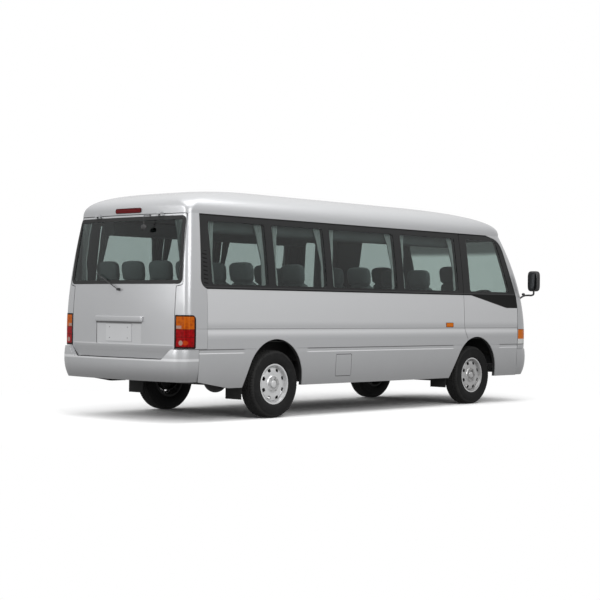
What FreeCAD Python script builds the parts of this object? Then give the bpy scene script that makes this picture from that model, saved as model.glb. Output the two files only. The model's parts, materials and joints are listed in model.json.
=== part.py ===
import FreeCAD, Part
import math
import os

# A four-wheeled minibus with a hollow cabin, built from separate pieces.
# Millimetres. X points forward, Y to the left, Z up.
# The origin is on the ground, on the centre plane, at the middle of the length.

# Overall sizes
body_length = 6990.0
body_width = 2070.0
roof_height = 2620.0
wheelbase = 3935.0
front_overhang = 1455.0
front_track = 1680.0
rear_track = 1760.0

# Heights that part the body
sill_z = 368.0
tail_sill_z = 448.0
swage_z = 800.0
crease_z = 1022.0
belt_z = 1458.0
header_z = 2284.0

# Body shape in section and from the side
tumblehome = 129.0
sill_tuck = 30.0
nose_rake = 520.0
tail_rake = 135.0
nose_set_back = 40.0
tail_set_back = 70.0
nose_rise_z = 900.0
tail_rise_z = 1100.0
nose_bow = 2500.0
tail_bow = 6000.0
nose_corner = 280.0
tail_corner = 75.0
roof_crown_x = -300.0
wall = 45.0
seat_gap = 0.3
shut_gap = 8.0
seam_gap = 3.0
overrun = 40.0
glass_outer = 5.0
glass_thickness = 5.0

# Panel lines along the side
corner_seam_x = -3035.0
tail_seam_x = -3157.0
door_rear_x = 1715.0
door_front_x = 2963.0
band_tail_top_x = -3062.0
band_tail_foot_x = -3130.0
band_top_round = 45.0
band_foot_round = 110.0
cab_glass_line_z = 1300.0
cab_slope_start_x = 1885.0
cab_slope_end_x = 2700.0
pillar_belt_x = 2937.0
pillar_top_x = 2650.0
pillar_top_z = 2206.0
pillar_header_x = 2340.0
door_foot_x = 1795.0
door_foot_z = 885.0
door_heel_z = 1010.0

# Pressed lines along the sides: a short face above each line, a long one below
groove_deep = 4.0
groove_above = 4.0
groove_below = 42.0
arch_margin = 49.0

# Side windows: rear edge and front edge of each opening
window_foot_z = 1512.0
window_head_z = 2208.0
window_round = 32.0
window_spans = ((-2949.0, -2055.0), (-1930.0, -1045.0), (-930.0, 300.0), (440.0, 1600.0))
cab_window_rear_x = 1866.0
cab_window_foot_x = 2790.0
cab_window_head_x = 2560.0

# Wheel arches, from the axle
arch_radius = 455.0
arch_set_back = 38.0
arch_top_z = 905.0
front_arch_heel = 660.0
rear_arch_heel = 588.0

# Entrance on the left: two flat leaves that fold inwards
entrance_rear_x = 590.0
entrance_front_x = 1300.0
entrance_foot_z = 436.0
entrance_head_z = 2215.0
leaf_thickness = 34.0
leaf_foot_y = 985.0
leaf_head_y = 893.0
leaf_window_margin = 62.0
leaf_window_foot = 470.0
leaf_glass_thickness = 5.0
leaf_pin_radius = 6.0
leaf_pin_deep = 12.0
leaf_pin_set_back = 17.0
fold_barrel_radius = 8.0
fold_barrel_length = 60.0
relief = 0.6

# Driver's door hinges
door_axis_set_back = 60.0
door_axis_y = 1016.0
door_axis_z = 800.0
door_axis_lean = 0.02
door_hinge_heights = (800.0, 1200.0)
hinge_radius = 9.0
hinge_pin_radius = 4.0
hinge_height = 20.0
door_room = 60.0
hinge_arm_deep = 68.0

# Tailgate, seen from behind
gate_foot_z = 695.0
gate_foot_y = 735.0
gate_hip_z = 806.0
gate_hip_y = 856.0
gate_belt_y = 850.0
gate_shoulder_z = 1488.0
gate_window_foot_y = 938.0
gate_window_foot_z = 1505.0
gate_head_y = 880.0
gate_head_z = 2276.0
gate_window_head_z = 2256.0
gate_window_round = 60.0
gate_border = 42.0
gate_axis_out = 4.0
plate_hole_radius = 3.5
plate_spacing_y = 300.0
plate_spacing_z = 120.0
plate_z = 968.0
plate_deep = 10.0
plate_seat_width = 430.0
plate_seat_height = 194.0
recess_deep = 17.0
recess_width = 760.0
recess_foot_z = 843.0
recess_head_z = 1096.0
garnish_width = 808.0
garnish_foot_z = 1092.0
garnish_head_z = 1157.0
garnish_proud = 14.0
gate_line_z = 772.0
nose_plate_z = 560.0
gate_hinge_y = 520.0
gate_hinge_width = 30.0
gate_hinge_radius = 7.0
gate_pin_radius = 3.0
gate_seal_proud = 2.0

# Windscreen
screen_foot_z = 1335.0
screen_foot_y = 925.0
screen_head_z = 2225.0
screen_head_y = 800.0
screen_round = 110.0

# Bumpers
bumper_wall = 62.0
tail_bumper_ledge_z = 688.0
tail_bumper_tuck = 45.0
nose_bumper_foot_z = 372.0
nose_bumper_top_z = 730.0
nose_bumper_tuck = 55.0

# Lamps
tail_lamp_foot_z = 810.0
tail_lamp_head_z = 1172.0
tail_lamp_inner_y = 866.0
tail_lamp_side_x = -3214.0
tail_lamp_round = 52.0
corner_lamp_foot_z = 792.0
corner_lamp_head_z = 1005.0
corner_lamp_side_x = 2978.0
corner_lamp_inner_y = 905.0
head_lamp_inner_y = 520.0
head_lamp_foot_z = 800.0
head_lamp_head_z = 990.0
grille_foot_z = 815.0
grille_head_z = 975.0
lamp_proud = 3.0
marker_rear_x = 1299.0
marker_front_x = 1459.0
marker_foot_z = 1034.0
marker_head_z = 1094.0
brake_lamp_width = 430.0
brake_lamp_foot_z = 2300.0
brake_lamp_head_z = 2356.0

# Fuel flap
flap_rear_x = -883.0
flap_front_x = -602.0
flap_foot_z = 458.0
flap_head_z = 712.0
flap_wall = 20.0
flap_round = 8.0
flap_gap = 6.0
flap_axis_deep = 6.0
flap_axis_set_back = 4.0
flap_eye_radius = 5.5
flap_pin_radius = 2.5

# Wheels and tyres
tyre_radius = 388.0
tyre_width = 215.0
bead_radius = 222.0
flange_radius = 240.0
rim_half_width = 76.0
flange_thickness = 8.0
hub_bore = 30.0
bearing_gap = 0.05
disc_thickness = 10.0
vent_count = 8
stud_count = 6
stud_radius = 9.0

# Axles and steering
kingpin_y = 690.0
kingpin_radius = 16.0
axle_z = tyre_radius
beam_half_height = 32.0
beam_half_width = 30.0
beam_drop = 70.0
spring_y = 455.0
spring_half_width = 30.0
housing_radius = 62.0
track_arm_set_back = 165.0
track_arm_inset = 0.0

# Frame and floor
rail_y = 390.0
rail_half_width = 30.0
rail_foot_z = 505.0
rail_head_z = 640.0
floor_foot_z = 700.0
floor_head_z = 740.0
well_wall = 6.0

# Seats
seat_width = 420.0
seat_pitch_y = 430.0
seat_cushion_z = 1120.0
seat_top_z = 1830.0
seat_rows_x = (-2900.0, -2060.0, -1190.0, 40.0, 1265.0)

# Values worked out from the sizes above
nose_x = body_length / 2
tail_x = -body_length / 2
half_width = body_width / 2
front_axle_x = nose_x - front_overhang
rear_axle_x = front_axle_x - wheelbase
front_wheel_y = front_track / 2
rear_wheel_y = rear_track / 2


def vec(x, y, z):
    return FreeCAD.Vector(x, y, z)


def box(x0, x1, y0, y1, z0, z1):
    return Part.makeBox(x1 - x0, y1 - y0, z1 - z0, vec(x0, y0, z0))


def rod(start, end, radius):
    way = end - start
    return Part.makeCylinder(radius, way.Length, start, way)


def mirror_y(shape):
    return shape.mirror(vec(0, 0, 0), vec(0, 1, 0))


def join(shapes):
    whole = shapes[0].fuse(shapes[1:]) if len(shapes) > 1 else shapes[0]
    return whole.removeSplitter()


def save(name, shape):
    solids = []
    for piece in (shape if isinstance(shape, list) else [shape]):
        solids += piece.Solids
    whole = solids[0] if len(solids) == 1 else Part.makeCompound(solids)
    whole.exportStep("parts/" + name + ".step")
    print(name, len(solids), whole.isValid(), round(sum(s.Volume for s in solids) / 1e6, 3))


def unit(u, v):
    size = math.hypot(u, v)
    return u / size, v / size


def rounded_edges(corners, place):
    """Straight edges and corner arcs of an outline; a corner is (u, v, radius)."""
    cuts = []
    count = len(corners)
    for i in range(count):
        u, v, radius = corners[i]
        before = corners[i - 1]
        after = corners[(i + 1) % count]
        a = unit(before[0] - u, before[1] - v)
        b = unit(after[0] - u, after[1] - v)
        if radius == 0:
            cuts.append(((u, v), None, (u, v)))
            continue
        half = math.acos(max(-1, min(1, a[0] * b[0] + a[1] * b[1]))) / 2
        run = radius / math.tan(half)
        mid = unit(a[0] + b[0], a[1] + b[1])
        deep = radius / math.sin(half) - radius
        cuts.append(((u + a[0] * run, v + a[1] * run), (u + mid[0] * deep, v + mid[1] * deep),
                     (u + b[0] * run, v + b[1] * run)))
    edges = []
    for i in range(count):
        start, mid, end = cuts[i]
        if mid:
            edges.append(Part.Arc(place(*start), place(*mid), place(*end)).toShape())
        follow = cuts[(i + 1) % count][0]
        if math.hypot(follow[0] - end[0], follow[1] - end[1]) > seat_gap / 100:
            edges.append(Part.makeLine(place(*end), place(*follow)))
    return edges


def grown(corners, by):
    """The same outline moved outwards by a distance, with its rounds kept concentric."""
    count = len(corners)
    area = sum(corners[i - 1][0] * corners[i][1] - corners[i][0] * corners[i - 1][1] for i in range(count))
    side = 1 if area > 0 else -1
    out = []
    for i in range(count):
        u, v, radius = corners[i]
        a = unit(u - corners[i - 1][0], v - corners[i - 1][1])
        after = corners[(i + 1) % count]
        b = unit(after[0] - u, after[1] - v)
        turn = a[0] * b[1] - a[1] * b[0]
        na = (a[1] * side, -a[0] * side)
        nb = (b[1] * side, -b[0] * side)
        bend = 1 + na[0] * nb[0] + na[1] * nb[1]
        new_radius = 0 if radius == 0 else max(radius + by * (side if turn > 0 else -side), seat_gap)
        out.append((u + by * (na[0] + nb[0]) / bend, v + by * (na[1] + nb[1]) / bend, new_radius))
    return out


def face_of(edges):
    return Part.Face(Part.Wire(edges))


def side_prism(corners, y0, y1):
    return face_of(rounded_edges(corners, lambda u, v: vec(u, y0, v))).extrude(vec(0, y1 - y0, 0))


def end_prism(corners, x0, x1):
    return face_of(rounded_edges(corners, lambda u, v: vec(x0, u, v))).extrude(vec(x1 - x0, 0, 0))


def plan_prism(corners, z0, z1):
    return face_of(rounded_edges(corners, lambda u, v: vec(u, v, z0))).extrude(vec(0, 0, z1 - z0))


def rectangle(u0, u1, v0, v1, radius):
    return [(u0, v0, radius), (u1, v0, radius), (u1, v1, radius), (u0, v1, radius)]


def corner_points(end_x, way, bow, radius, half):
    """Where a corner arc leaves the side, its middle, and where it meets the bowed end."""
    bow_x = end_x - way * bow
    reach = math.sqrt((bow - radius) ** 2 - (half - radius) ** 2)
    side = half - radius
    centre_x = bow_x + way * reach
    stretch = bow / (bow - radius)
    turn = (math.atan2(side, reach) + math.pi / 2) / 2
    middle = (centre_x + way * radius * math.cos(turn), side + radius * math.sin(turn))
    return (centre_x, half), middle, (bow_x + way * reach * stretch, side * stretch)


def plan_wire(z, front, rear, half, front_bow, rear_bow, front_corner, rear_corner):
    """Closed outline of the body seen from above, at one height."""
    fs, fm, fe = corner_points(front, 1, front_bow, front_corner, half)
    rs, rm, re = corner_points(rear, -1, rear_bow, rear_corner, half)

    def at(point, side):
        return vec(point[0], point[1] * side, z)

    edges = [
        Part.makeLine(at(rs, -1), at(fs, -1)),
        Part.Arc(at(fs, -1), at(fm, -1), at(fe, -1)).toShape(),
        Part.Arc(at(fe, -1), vec(front, 0, z), at(fe, 1)).toShape(),
        Part.Arc(at(fe, 1), at(fm, 1), at(fs, 1)).toShape(),
        Part.makeLine(at(fs, 1), at(rs, 1)),
        Part.Arc(at(rs, 1), at(rm, 1), at(re, 1)).toShape(),
        Part.Arc(at(re, 1), vec(rear, 0, z), at(re, -1)).toShape(),
        Part.Arc(at(re, -1), at(rm, -1), at(rs, -1)).toShape(),
    ]
    return Part.Wire(edges)


tumble_power = 1.7
nose_power = 1.95
tail_power = 1.6


def side_half(z):
    """Half width of the body at a height: widest at the crease."""
    z = max(z, sill_z - overrun)
    if z > crease_z:
        return half_width - tumblehome * ((z - crease_z) / (header_z - crease_z)) ** tumble_power
    return half_width - sill_tuck * ((crease_z - z) / (crease_z - sill_z)) ** 2


def nose_at(z):
    share = max(0, (z - nose_rise_z) / (header_z - nose_rise_z))
    return nose_x - nose_set_back - nose_rake * share ** nose_power


def tail_at(z):
    share = max(0, (z - tail_rise_z) / (header_z - tail_rise_z))
    return tail_x + tail_set_back + tail_rake * share ** tail_power


def body_wire(z, inset):
    return plan_wire(z, nose_at(z) - inset, tail_at(z) + inset, side_half(z) - inset,
                     nose_bow - inset, tail_bow - inset, nose_corner - inset, tail_corner - inset)


loft_degree = 3
level_shares = (0, 0.12, 0.23, 0.34, 0.44, 0.54, 0.64, 0.76, 0.88, 1)


def body_block(inset, more=0):
    """The cabin below the roof as one closed block, set in from the outer skin."""
    foot = sill_z - more
    head = header_z + more
    wires = [body_wire(foot + (head - foot) * share, inset) for share in level_shares]
    return Part.makeLoft(wires, True, False, False, loft_degree)


roof_level_shares = (0, 0.14, 0.3, 0.46, 0.6, 0.72, 0.82, 0.9, 0.955, 0.985)
roof_side_power = 2.6
roof_nose_power = 2.9
roof_tail_power = 3.5
roof_round_share = 0.72


def roof_block(inset, drop):
    """The roof dome: plan outlines that shrink towards the crown."""
    rise = roof_height - header_z
    wires = []
    for share in roof_level_shares:
        side = (1 - share ** roof_side_power) ** (1 / roof_side_power)
        nose = (1 - share ** roof_nose_power) ** (1 / roof_nose_power)
        tail = (1 - share ** roof_tail_power) ** (1 / roof_tail_power)
        half = side_half(header_z) * side
        front = roof_crown_x + (nose_at(header_z) - roof_crown_x) * nose
        rear = roof_crown_x + (tail_at(header_z) - roof_crown_x) * tail
        front_round = nose_corner + (half * roof_round_share - nose_corner) * share ** 2
        rear_round = tail_corner + (half * roof_round_share - tail_corner) * share ** 2
        z = header_z + rise * share - drop
        fit = half - inset
        wires.append(plan_wire(z, front - inset, rear + inset, fit,
                               nose_bow - inset, tail_bow - inset,
                               min(front_round - inset, fit * roof_round_share),
                               min(rear_round - inset, fit * roof_round_share)))
    return Part.makeLoft(wires, True, False, False, loft_degree)


outer = body_block(0)
outer_tall = body_block(0, overrun)
inner = body_block(wall, overrun)
far = body_length
wide = body_width


def side_groove(z, x0, x1):
    """Cutters for a pressed line at one height, right and left."""
    root = side_half(z) - groove_deep
    high = side_half(z + groove_above) - root
    low = side_half(z - groove_below) - root
    more = (groove_above + groove_deep) / groove_above
    corners = [(root, z, 0), (root + high * more, z + groove_above * more, 0), (wide, z + groove_above * more, 0),
               (wide, z - groove_below * more, 0), (root + low * more, z - groove_below * more, 0)]
    block = end_prism(corners, x0, x1)
    return [block, mirror_y(block)]


def arch_edge(axle_x, way):
    """Edge of a wheel arch at the swage line, with the flat margin round it."""
    rise = swage_z - arch_top_z + arch_radius
    return axle_x - arch_set_back + way * (math.sqrt(arch_radius ** 2 - rise ** 2) + arch_margin)


grooves = side_groove(crease_z, tail_lamp_side_x + shut_gap, door_front_x)
for start_x, end_x in ((tail_seam_x + seam_gap, arch_edge(rear_axle_x, -1)),
                       (arch_edge(rear_axle_x, 1), arch_edge(front_axle_x, -1)),
                       (arch_edge(front_axle_x, 1), door_front_x)):
    grooves += side_groove(swage_z - seam_gap, start_x, end_x)
ring = outer.cut(inner).cut(Part.makeCompound(grooves))


def door_corners():
    """The cab door seen from the side."""
    return [(door_rear_x, header_z - shut_gap, window_round), (pillar_header_x, header_z - shut_gap, nose_corner),
            (pillar_top_x, pillar_top_z, nose_corner), (pillar_belt_x, belt_z, 0),
            (door_front_x, cab_glass_line_z, 0), (door_front_x, sill_z - overrun, 0),
            (door_foot_x, sill_z - overrun, 0), (door_foot_x, door_foot_z, 0),
            (door_rear_x, door_heel_z, nose_corner)]


def cab_band_corners():
    """The black window area of the cab side."""
    return [(door_rear_x - wall, header_z + overrun, 0), (far, header_z + overrun, 0),
            (far, cab_glass_line_z, 0), (cab_slope_end_x, cab_glass_line_z - glass_outer, band_top_round),
            (cab_slope_start_x, belt_z, band_foot_round), (door_rear_x - wall, belt_z, 0)]


def cab_window_corners():
    return [(cab_window_rear_x, window_foot_z, window_round), (cab_window_foot_x, window_foot_z, window_round),
            (cab_window_head_x, window_head_z, window_round + window_round), (cab_window_rear_x, window_head_z, window_round)]


def band_corners(front_x):
    return [(band_tail_foot_x, belt_z, band_foot_round), (front_x, belt_z, 0), (front_x, header_z + overrun, 0),
            (band_tail_top_x, header_z + overrun, 0)]


def arch_prism(axle_x, heel):
    """Wheel opening: a round top and front, and a straight slanting rear leg."""
    cx = axle_x - arch_set_back
    cz = arch_top_z - arch_radius
    foot = sill_z - overrun
    toe_x = cx + arch_radius
    hx = axle_x - heel
    dx = hx - cx
    dz = foot - cz
    reach = math.hypot(dx, dz)
    turn = math.atan2(dz, dx) - math.acos(arch_radius / reach)
    touch = vec(cx + arch_radius * math.cos(turn), -wide, cz + arch_radius * math.sin(turn))
    top = vec(cx, -wide, arch_top_z)
    side = vec(toe_x, -wide, cz)
    if touch.z < cz:
        touch = vec(cx - arch_radius, -wide, cz)
    edges = [Part.Arc(touch, vec(cx + arch_radius * math.cos(math.pi * 3 / 4), -wide,
                                 cz + arch_radius * math.sin(math.pi * 3 / 4)), top).toShape(),
             Part.Arc(top, vec(cx + arch_radius * math.cos(math.pi / 4), -wide,
                               cz + arch_radius * math.sin(math.pi / 4)), side).toShape(),
             Part.makeLine(side, vec(toe_x, -wide, foot)),
             Part.makeLine(vec(toe_x, -wide, foot), vec(hx, -wide, foot)),
             Part.makeLine(vec(hx, -wide, foot), touch)]
    return face_of(edges).extrude(vec(0, wide * 2, 0))


arches = arch_prism(front_axle_x, front_arch_heel).fuse(arch_prism(rear_axle_x, rear_arch_heel))
right_half = box(-far, far, -wide, 0, 0, roof_height)
left_half = box(-far, far, 0, wide, 0, roof_height)
ring_right = ring.common(right_half)
ring_left = ring.common(left_half)
door_hole = side_prism(grown(door_corners(), shut_gap), -wide, 0)
door_block = side_prism(door_corners(), -wide, 0)
cab_band = side_prism(cab_band_corners(), -wide, 0)
cab_window = side_prism(cab_window_corners(), -wide, 0)
band_right = side_prism(band_corners(door_rear_x - shut_gap), -wide, 0)
flap_corners = rectangle(flap_rear_x, flap_front_x, flap_foot_z, flap_head_z, flap_round)
marker_corners = rectangle(marker_rear_x, marker_front_x, marker_foot_z, marker_head_z, seam_gap * 3)
lower_side = [(tail_seam_x + seam_gap, tail_sill_z, 0), (rear_axle_x - rear_arch_heel + overrun, sill_z - overrun, 0),
              (door_foot_x + overrun, sill_z - overrun, 0), (door_foot_x + overrun, belt_z, 0),
              (corner_seam_x, belt_z, 0), (corner_seam_x, swage_z + seam_gap, 0),
              (tail_seam_x + seam_gap, swage_z + seam_gap, 0)]


def window_openings(spans, grow, y0, y1):
    holes = []
    for rear, front in spans:
        corners = rectangle(rear, front, window_foot_z, window_head_z, window_round)
        holes.append(side_prism(grown(corners, grow) if grow else corners, y0, y1))
    return holes


def flap_pocket():
    """Opening for the fuel flap, with a shallow recess behind it."""
    return side_prism(grown(flap_corners, flap_gap), -wide, 0)


def build_side_right():
    panel = ring_right.common(side_prism(lower_side, -wide, 0)).cut(door_hole).cut(arches)
    pocket = flap_pocket().common(panel)
    shallow = pocket.cut(body_block(flap_wall + flap_gap, overrun))
    panel = panel.cut(shallow).cut(side_prism(grown(marker_corners, seat_gap), -wide, 0).cut(body_block(flap_wall)))
    return join([panel, flap_rod(flap_foot_z - flap_gap * 2, flap_head_z + flap_gap * 2, flap_pin_radius)])


entrance_corners = rectangle(entrance_rear_x - shut_gap, entrance_front_x + shut_gap, entrance_foot_z - shut_gap,
                             entrance_head_z + shut_gap, 0)
entrance_hole = side_prism(entrance_corners, 0, wide)
jamb_deep = leaf_head_y - leaf_thickness - shut_gap


def build_side_left():
    rear_part = ring_left.common(mirror_y(side_prism(lower_side, -wide, 0)))
    cab_part = ring_left.common(box(door_rear_x - shut_gap - seam_gap, far, 0, wide, 0, roof_height))
    cab_part = cab_part.common(mirror_y(cab_region())).cut(mirror_y(cab_band))
    jamb = box(entrance_rear_x - wall, entrance_front_x + wall, jamb_deep, wide,
               entrance_foot_z - shut_gap, belt_z)
    jamb = jamb.common(body_block(wall - seam_gap, overrun))
    panel = join([rear_part, cab_part, jamb]).cut(arches).cut(entrance_hole)
    return panel.cut(mirror_y(side_prism(grown(marker_corners, seat_gap), -wide, 0).cut(body_block(flap_wall))))


def cab_region():
    """Side region of the cab up to the front seam, without the door's lower rear cut."""
    return side_prism([(door_rear_x - wall, header_z, 0), (pillar_header_x, header_z, nose_corner),
                       (pillar_top_x, pillar_top_z, nose_corner), (pillar_belt_x, belt_z, 0),
                       (door_front_x, cab_glass_line_z, 0), (door_front_x, sill_z - overrun, 0),
                       (door_rear_x - wall, sill_z - overrun, 0)], -wide, 0)


def build_window_frames():
    """Black window bands with their pillars, right and left."""
    right = ring_right.common(band_right)
    for hole in window_openings(window_spans, 0, -wide, 0):
        right = right.cut(hole)
    left_band = side_prism(band_corners(door_rear_x - wall), 0, wide)
    left = join([ring_left.common(left_band), ring_left.common(mirror_y(cab_region()))
                 .common(mirror_y(cab_band))])
    jamb = box(entrance_rear_x - wall, entrance_front_x + wall, jamb_deep, wide,
               belt_z, header_z)
    left = join([left, jamb.common(body_block(wall - seam_gap, overrun))]).cut(entrance_hole)
    for hole in window_openings(window_spans[:3], 0, 0, wide):
        left = left.cut(hole)
    left = left.cut(mirror_y(cab_window))
    left = join([left, leaf_pin(entrance_head_z - leaf_pin_set_back, entrance_head_z + shut_gap * 2, leaf_pin_radius)])
    return [right, left]


glass_layer = body_block(glass_outer).cut(body_block(glass_outer + glass_thickness, overrun))


def build_side_glass():
    panes = []
    for hole in window_openings(window_spans, -seat_gap, -wide, 0):
        panes.append(glass_layer.common(hole))
    for hole in window_openings(window_spans[:3], -seat_gap, 0, wide):
        panes.append(glass_layer.common(hole))
    panes.append(glass_layer.common(mirror_y(side_prism(grown(cab_window_corners(), -seat_gap), -wide, 0))))
    return panes


def door_axis_at(z):
    return vec(door_front_x - door_axis_set_back, -door_axis_y + door_axis_lean * (z - door_axis_z), z)


def door_rod(z0, z1, radius):
    return rod(door_axis_at(z0), door_axis_at(z1), radius)


def hinge_arm(z):
    """Fixed half of a door hinge: barrel, pin and a cranked arm to the inside of the front panel."""
    axis = door_axis_at(z)
    t = hinge_height * 0.35
    inner_y = axis.y + hinge_arm_deep
    foot = z - hinge_height + relief
    head = z - hinge_height * 0.25
    crank = box(axis.x - t * 2, axis.x - relief, axis.y + relief * 3, inner_y, foot, head)
    bar = box(axis.x - t * 2, door_front_x + overrun * 1.6, inner_y - t, inner_y + t, foot, head)
    pad = box(door_front_x + shut_gap * 2, door_front_x + overrun * 1.6, -half_width, inner_y, foot, head)
    arm = join([crank, bar, pad]).common(outer)
    return join([arm, door_rod(foot, z - relief, hinge_radius),
                 door_rod(foot, z + hinge_height - relief * 2, hinge_pin_radius)])


def hinge_pocket(z):
    axis = door_axis_at(z)
    inner = box(axis.x - hinge_height, door_front_x + overrun, axis.y + relief, 0, z - hinge_height * 1.3, z + relief)
    return join([inner, door_rod(z - hinge_height * 1.3, z + relief, hinge_radius + relief)])


def build_driver_door():
    region = ring_right.common(door_block).cut(arches)
    skin = region.cut(cab_band)
    for z in door_hinge_heights:
        skin = skin.cut(hinge_pocket(z))
        skin = skin.fuse(door_rod(z + relief, z + hinge_height, hinge_radius))
        skin = skin.cut(door_rod(z - relief, z + hinge_height + relief, hinge_pin_radius + bearing_gap))
    frame = region.common(cab_band).cut(cab_window)
    pane = glass_layer.common(side_prism(grown(cab_window_corners(), -seat_gap), -wide, 0))
    return skin, frame, pane


def screen_corners():
    return [(-screen_foot_y, screen_foot_z, screen_round), (screen_foot_y, screen_foot_z, screen_round),
            (screen_head_y, screen_head_z, screen_round), (-screen_head_y, screen_head_z, screen_round)]


def head_lamp_corners(side):
    return [(side * head_lamp_inner_y, head_lamp_foot_z, 0), (side * (corner_lamp_inner_y - seam_gap), head_lamp_foot_z, 0),
            (side * (corner_lamp_inner_y - seam_gap), head_lamp_head_z, 0),
            (side * head_lamp_inner_y, head_lamp_head_z, 0)]


def front_prism(corners):
    return end_prism(corners, front_axle_x + arch_radius, far)


def corner_lamp_block(grow):
    block = box(corner_lamp_side_x - grow, far, corner_lamp_inner_y - grow, wide,
                corner_lamp_foot_z - grow, corner_lamp_head_z + grow)
    return [block, mirror_y(block)]


def grille_corners():
    inner_y = head_lamp_inner_y - seam_gap
    return rectangle(-inner_y, inner_y, grille_foot_z, grille_head_z, seam_gap * 3)


def build_front_panel():
    region = side_prism([(door_front_x + shut_gap, nose_bumper_top_z + seam_gap, 0), (far, nose_bumper_top_z + seam_gap, 0),
                         (far, header_z, 0), (pillar_header_x + shut_gap, header_z, 0),
                         (pillar_top_x + shut_gap * 1.2, pillar_top_z + shut_gap, nose_corner),
                         (pillar_belt_x + shut_gap, belt_z, 0),
                         (door_front_x + shut_gap, cab_glass_line_z, 0)], -wide, wide)
    panel = ring.common(region).cut(front_prism(screen_corners()))
    panel = join([panel] + [hinge_arm(z) for z in door_hinge_heights])
    for side in (-1, 1):
        panel = panel.cut(front_prism(grown(head_lamp_corners(side), seat_gap)))
    for block in corner_lamp_block(seat_gap):
        panel = panel.cut(block)
    return panel.cut(front_prism(grown(grille_corners(), seat_gap)))


def build_head_lamps():
    lamps = []
    for side in (-1, 1):
        lamps.append(ring.common(front_prism(head_lamp_corners(side))))
    return lamps


def build_indicators():
    """Amber lamps: two at the front corners and two side markers."""
    proud = body_block(-lamp_proud)
    lamps = [ring.common(block) for block in corner_lamp_block(0)]
    marker = proud.cut(body_block(flap_wall)).common(side_prism(marker_corners, -wide, 0))
    return lamps + [marker, mirror_y(marker)]


grille_bar_count = 4
grille_bar_share = 0.52


def build_grille():
    back = ring.common(front_prism(grille_corners())).cut(body_block(wall / 2))
    slots = []
    pitch = (grille_head_z - grille_foot_z) / grille_bar_count
    for i in range(grille_bar_count):
        z0 = grille_foot_z + pitch * (i + (1 - grille_bar_share) / 2)
        inner_y = head_lamp_inner_y - seam_gap * 6
        corners = rectangle(-inner_y, inner_y, z0, z0 + pitch * grille_bar_share, seam_gap * 2)
        slots.append(front_prism(corners))
    return back.cut(Part.makeCompound(slots))


def gate_corners():
    """The tailgate seen from behind, wider beside its window."""
    half = [(gate_foot_y, gate_foot_z, 0), (gate_hip_y, gate_hip_z, 0), (gate_belt_y, gate_shoulder_z, 0),
            (gate_window_foot_y, gate_window_foot_z, gate_window_round / 3), (gate_head_y, gate_head_z, gate_window_round / 3)]
    return half + [(-u, v, r) for u, v, r in reversed(half)]


def gate_window_corners(inset):
    foot_y = gate_window_foot_y - seam_gap
    head_y = gate_head_y
    corners = [(-foot_y, gate_window_foot_z + seam_gap, gate_window_round), (foot_y, gate_window_foot_z + seam_gap, gate_window_round),
               (head_y, gate_window_head_z, gate_window_round), (-head_y, gate_window_head_z, gate_window_round)]
    return grown(corners, -inset) if inset else corners


gate_inner_x = tail_at(gate_head_z) + wall + gate_head_y ** 2 / tail_bow / 2 + glass_outer


def rear_prism(corners, more=0):
    return end_prism(corners, -far, gate_inner_x + more)


def tail_lamp_block(grow):
    corners = [(-far, tail_lamp_foot_z, 0), (tail_lamp_side_x, tail_lamp_foot_z, tail_corner / 5),
               (tail_lamp_side_x, tail_lamp_head_z, tail_lamp_round), (-far, tail_lamp_head_z, 0)]
    block = side_prism(grown(corners, grow) if grow else corners, tail_lamp_inner_y - grow, wide)
    return [block, mirror_y(block)]


def build_rear_surround():
    region = box(-far, corner_seam_x - seam_gap, -wide, wide, swage_z + seam_gap * 2, header_z)
    panel = ring.common(region).cut(rear_prism(grown(gate_corners(), shut_gap), shut_gap))
    band = side_prism(band_corners(far), -wide, wide)
    panel = panel.cut(band)
    for block in tail_lamp_block(seat_gap):
        panel = panel.cut(block)
    return panel


def build_tail_lamps():
    proud = body_block(-lamp_proud).cut(inner)
    return [proud.common(block) for block in tail_lamp_block(0)]


gate_axis_z = gate_head_z + shut_gap / 2
gate_axis_x = tail_at(gate_head_z) - gate_axis_out


def gate_rod(y0, y1, radius):
    return rod(vec(gate_axis_x, y0, gate_axis_z), vec(gate_axis_x, y1, gate_axis_z), radius)


def gate_hinges(on_gate):
    """Outer hinges over the tailgate: one barrel on the roof between two on the gate."""
    pieces = []
    reach = gate_axis_x + overrun
    r = gate_hinge_radius
    w = gate_hinge_width
    for side in (-1, 1):
        y = side * gate_hinge_y
        if on_gate:
            for way in (-1, 1):
                span = sorted((y + way * (w / 2 + relief), y + way * w * 1.5))
                barrel = join([gate_rod(span[0], span[1], r),
                               box(gate_axis_x - r / 2, reach, span[0], span[1], gate_axis_z - r * 3, gate_axis_z - relief)])
                pieces.append(barrel)
        else:
            pieces.append(join([gate_rod(y - w / 2, y + w / 2, r), gate_rod(y - w * 1.4, y + w * 1.4, gate_pin_radius),
                                box(gate_axis_x - r / 2, reach, y - w / 2, y + w / 2, gate_axis_z + relief, gate_axis_z + r * 3)]))
    return pieces


def plate_holes(x0, x1, rows):
    """Fixing holes of a licence plate, a pair at each height."""
    return Part.makeCompound([rod(vec(x0, side * plate_spacing_y / 2, z), vec(x1, side * plate_spacing_y / 2, z),
                                  plate_hole_radius) for side in (-1, 1) for z in rows])


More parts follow.
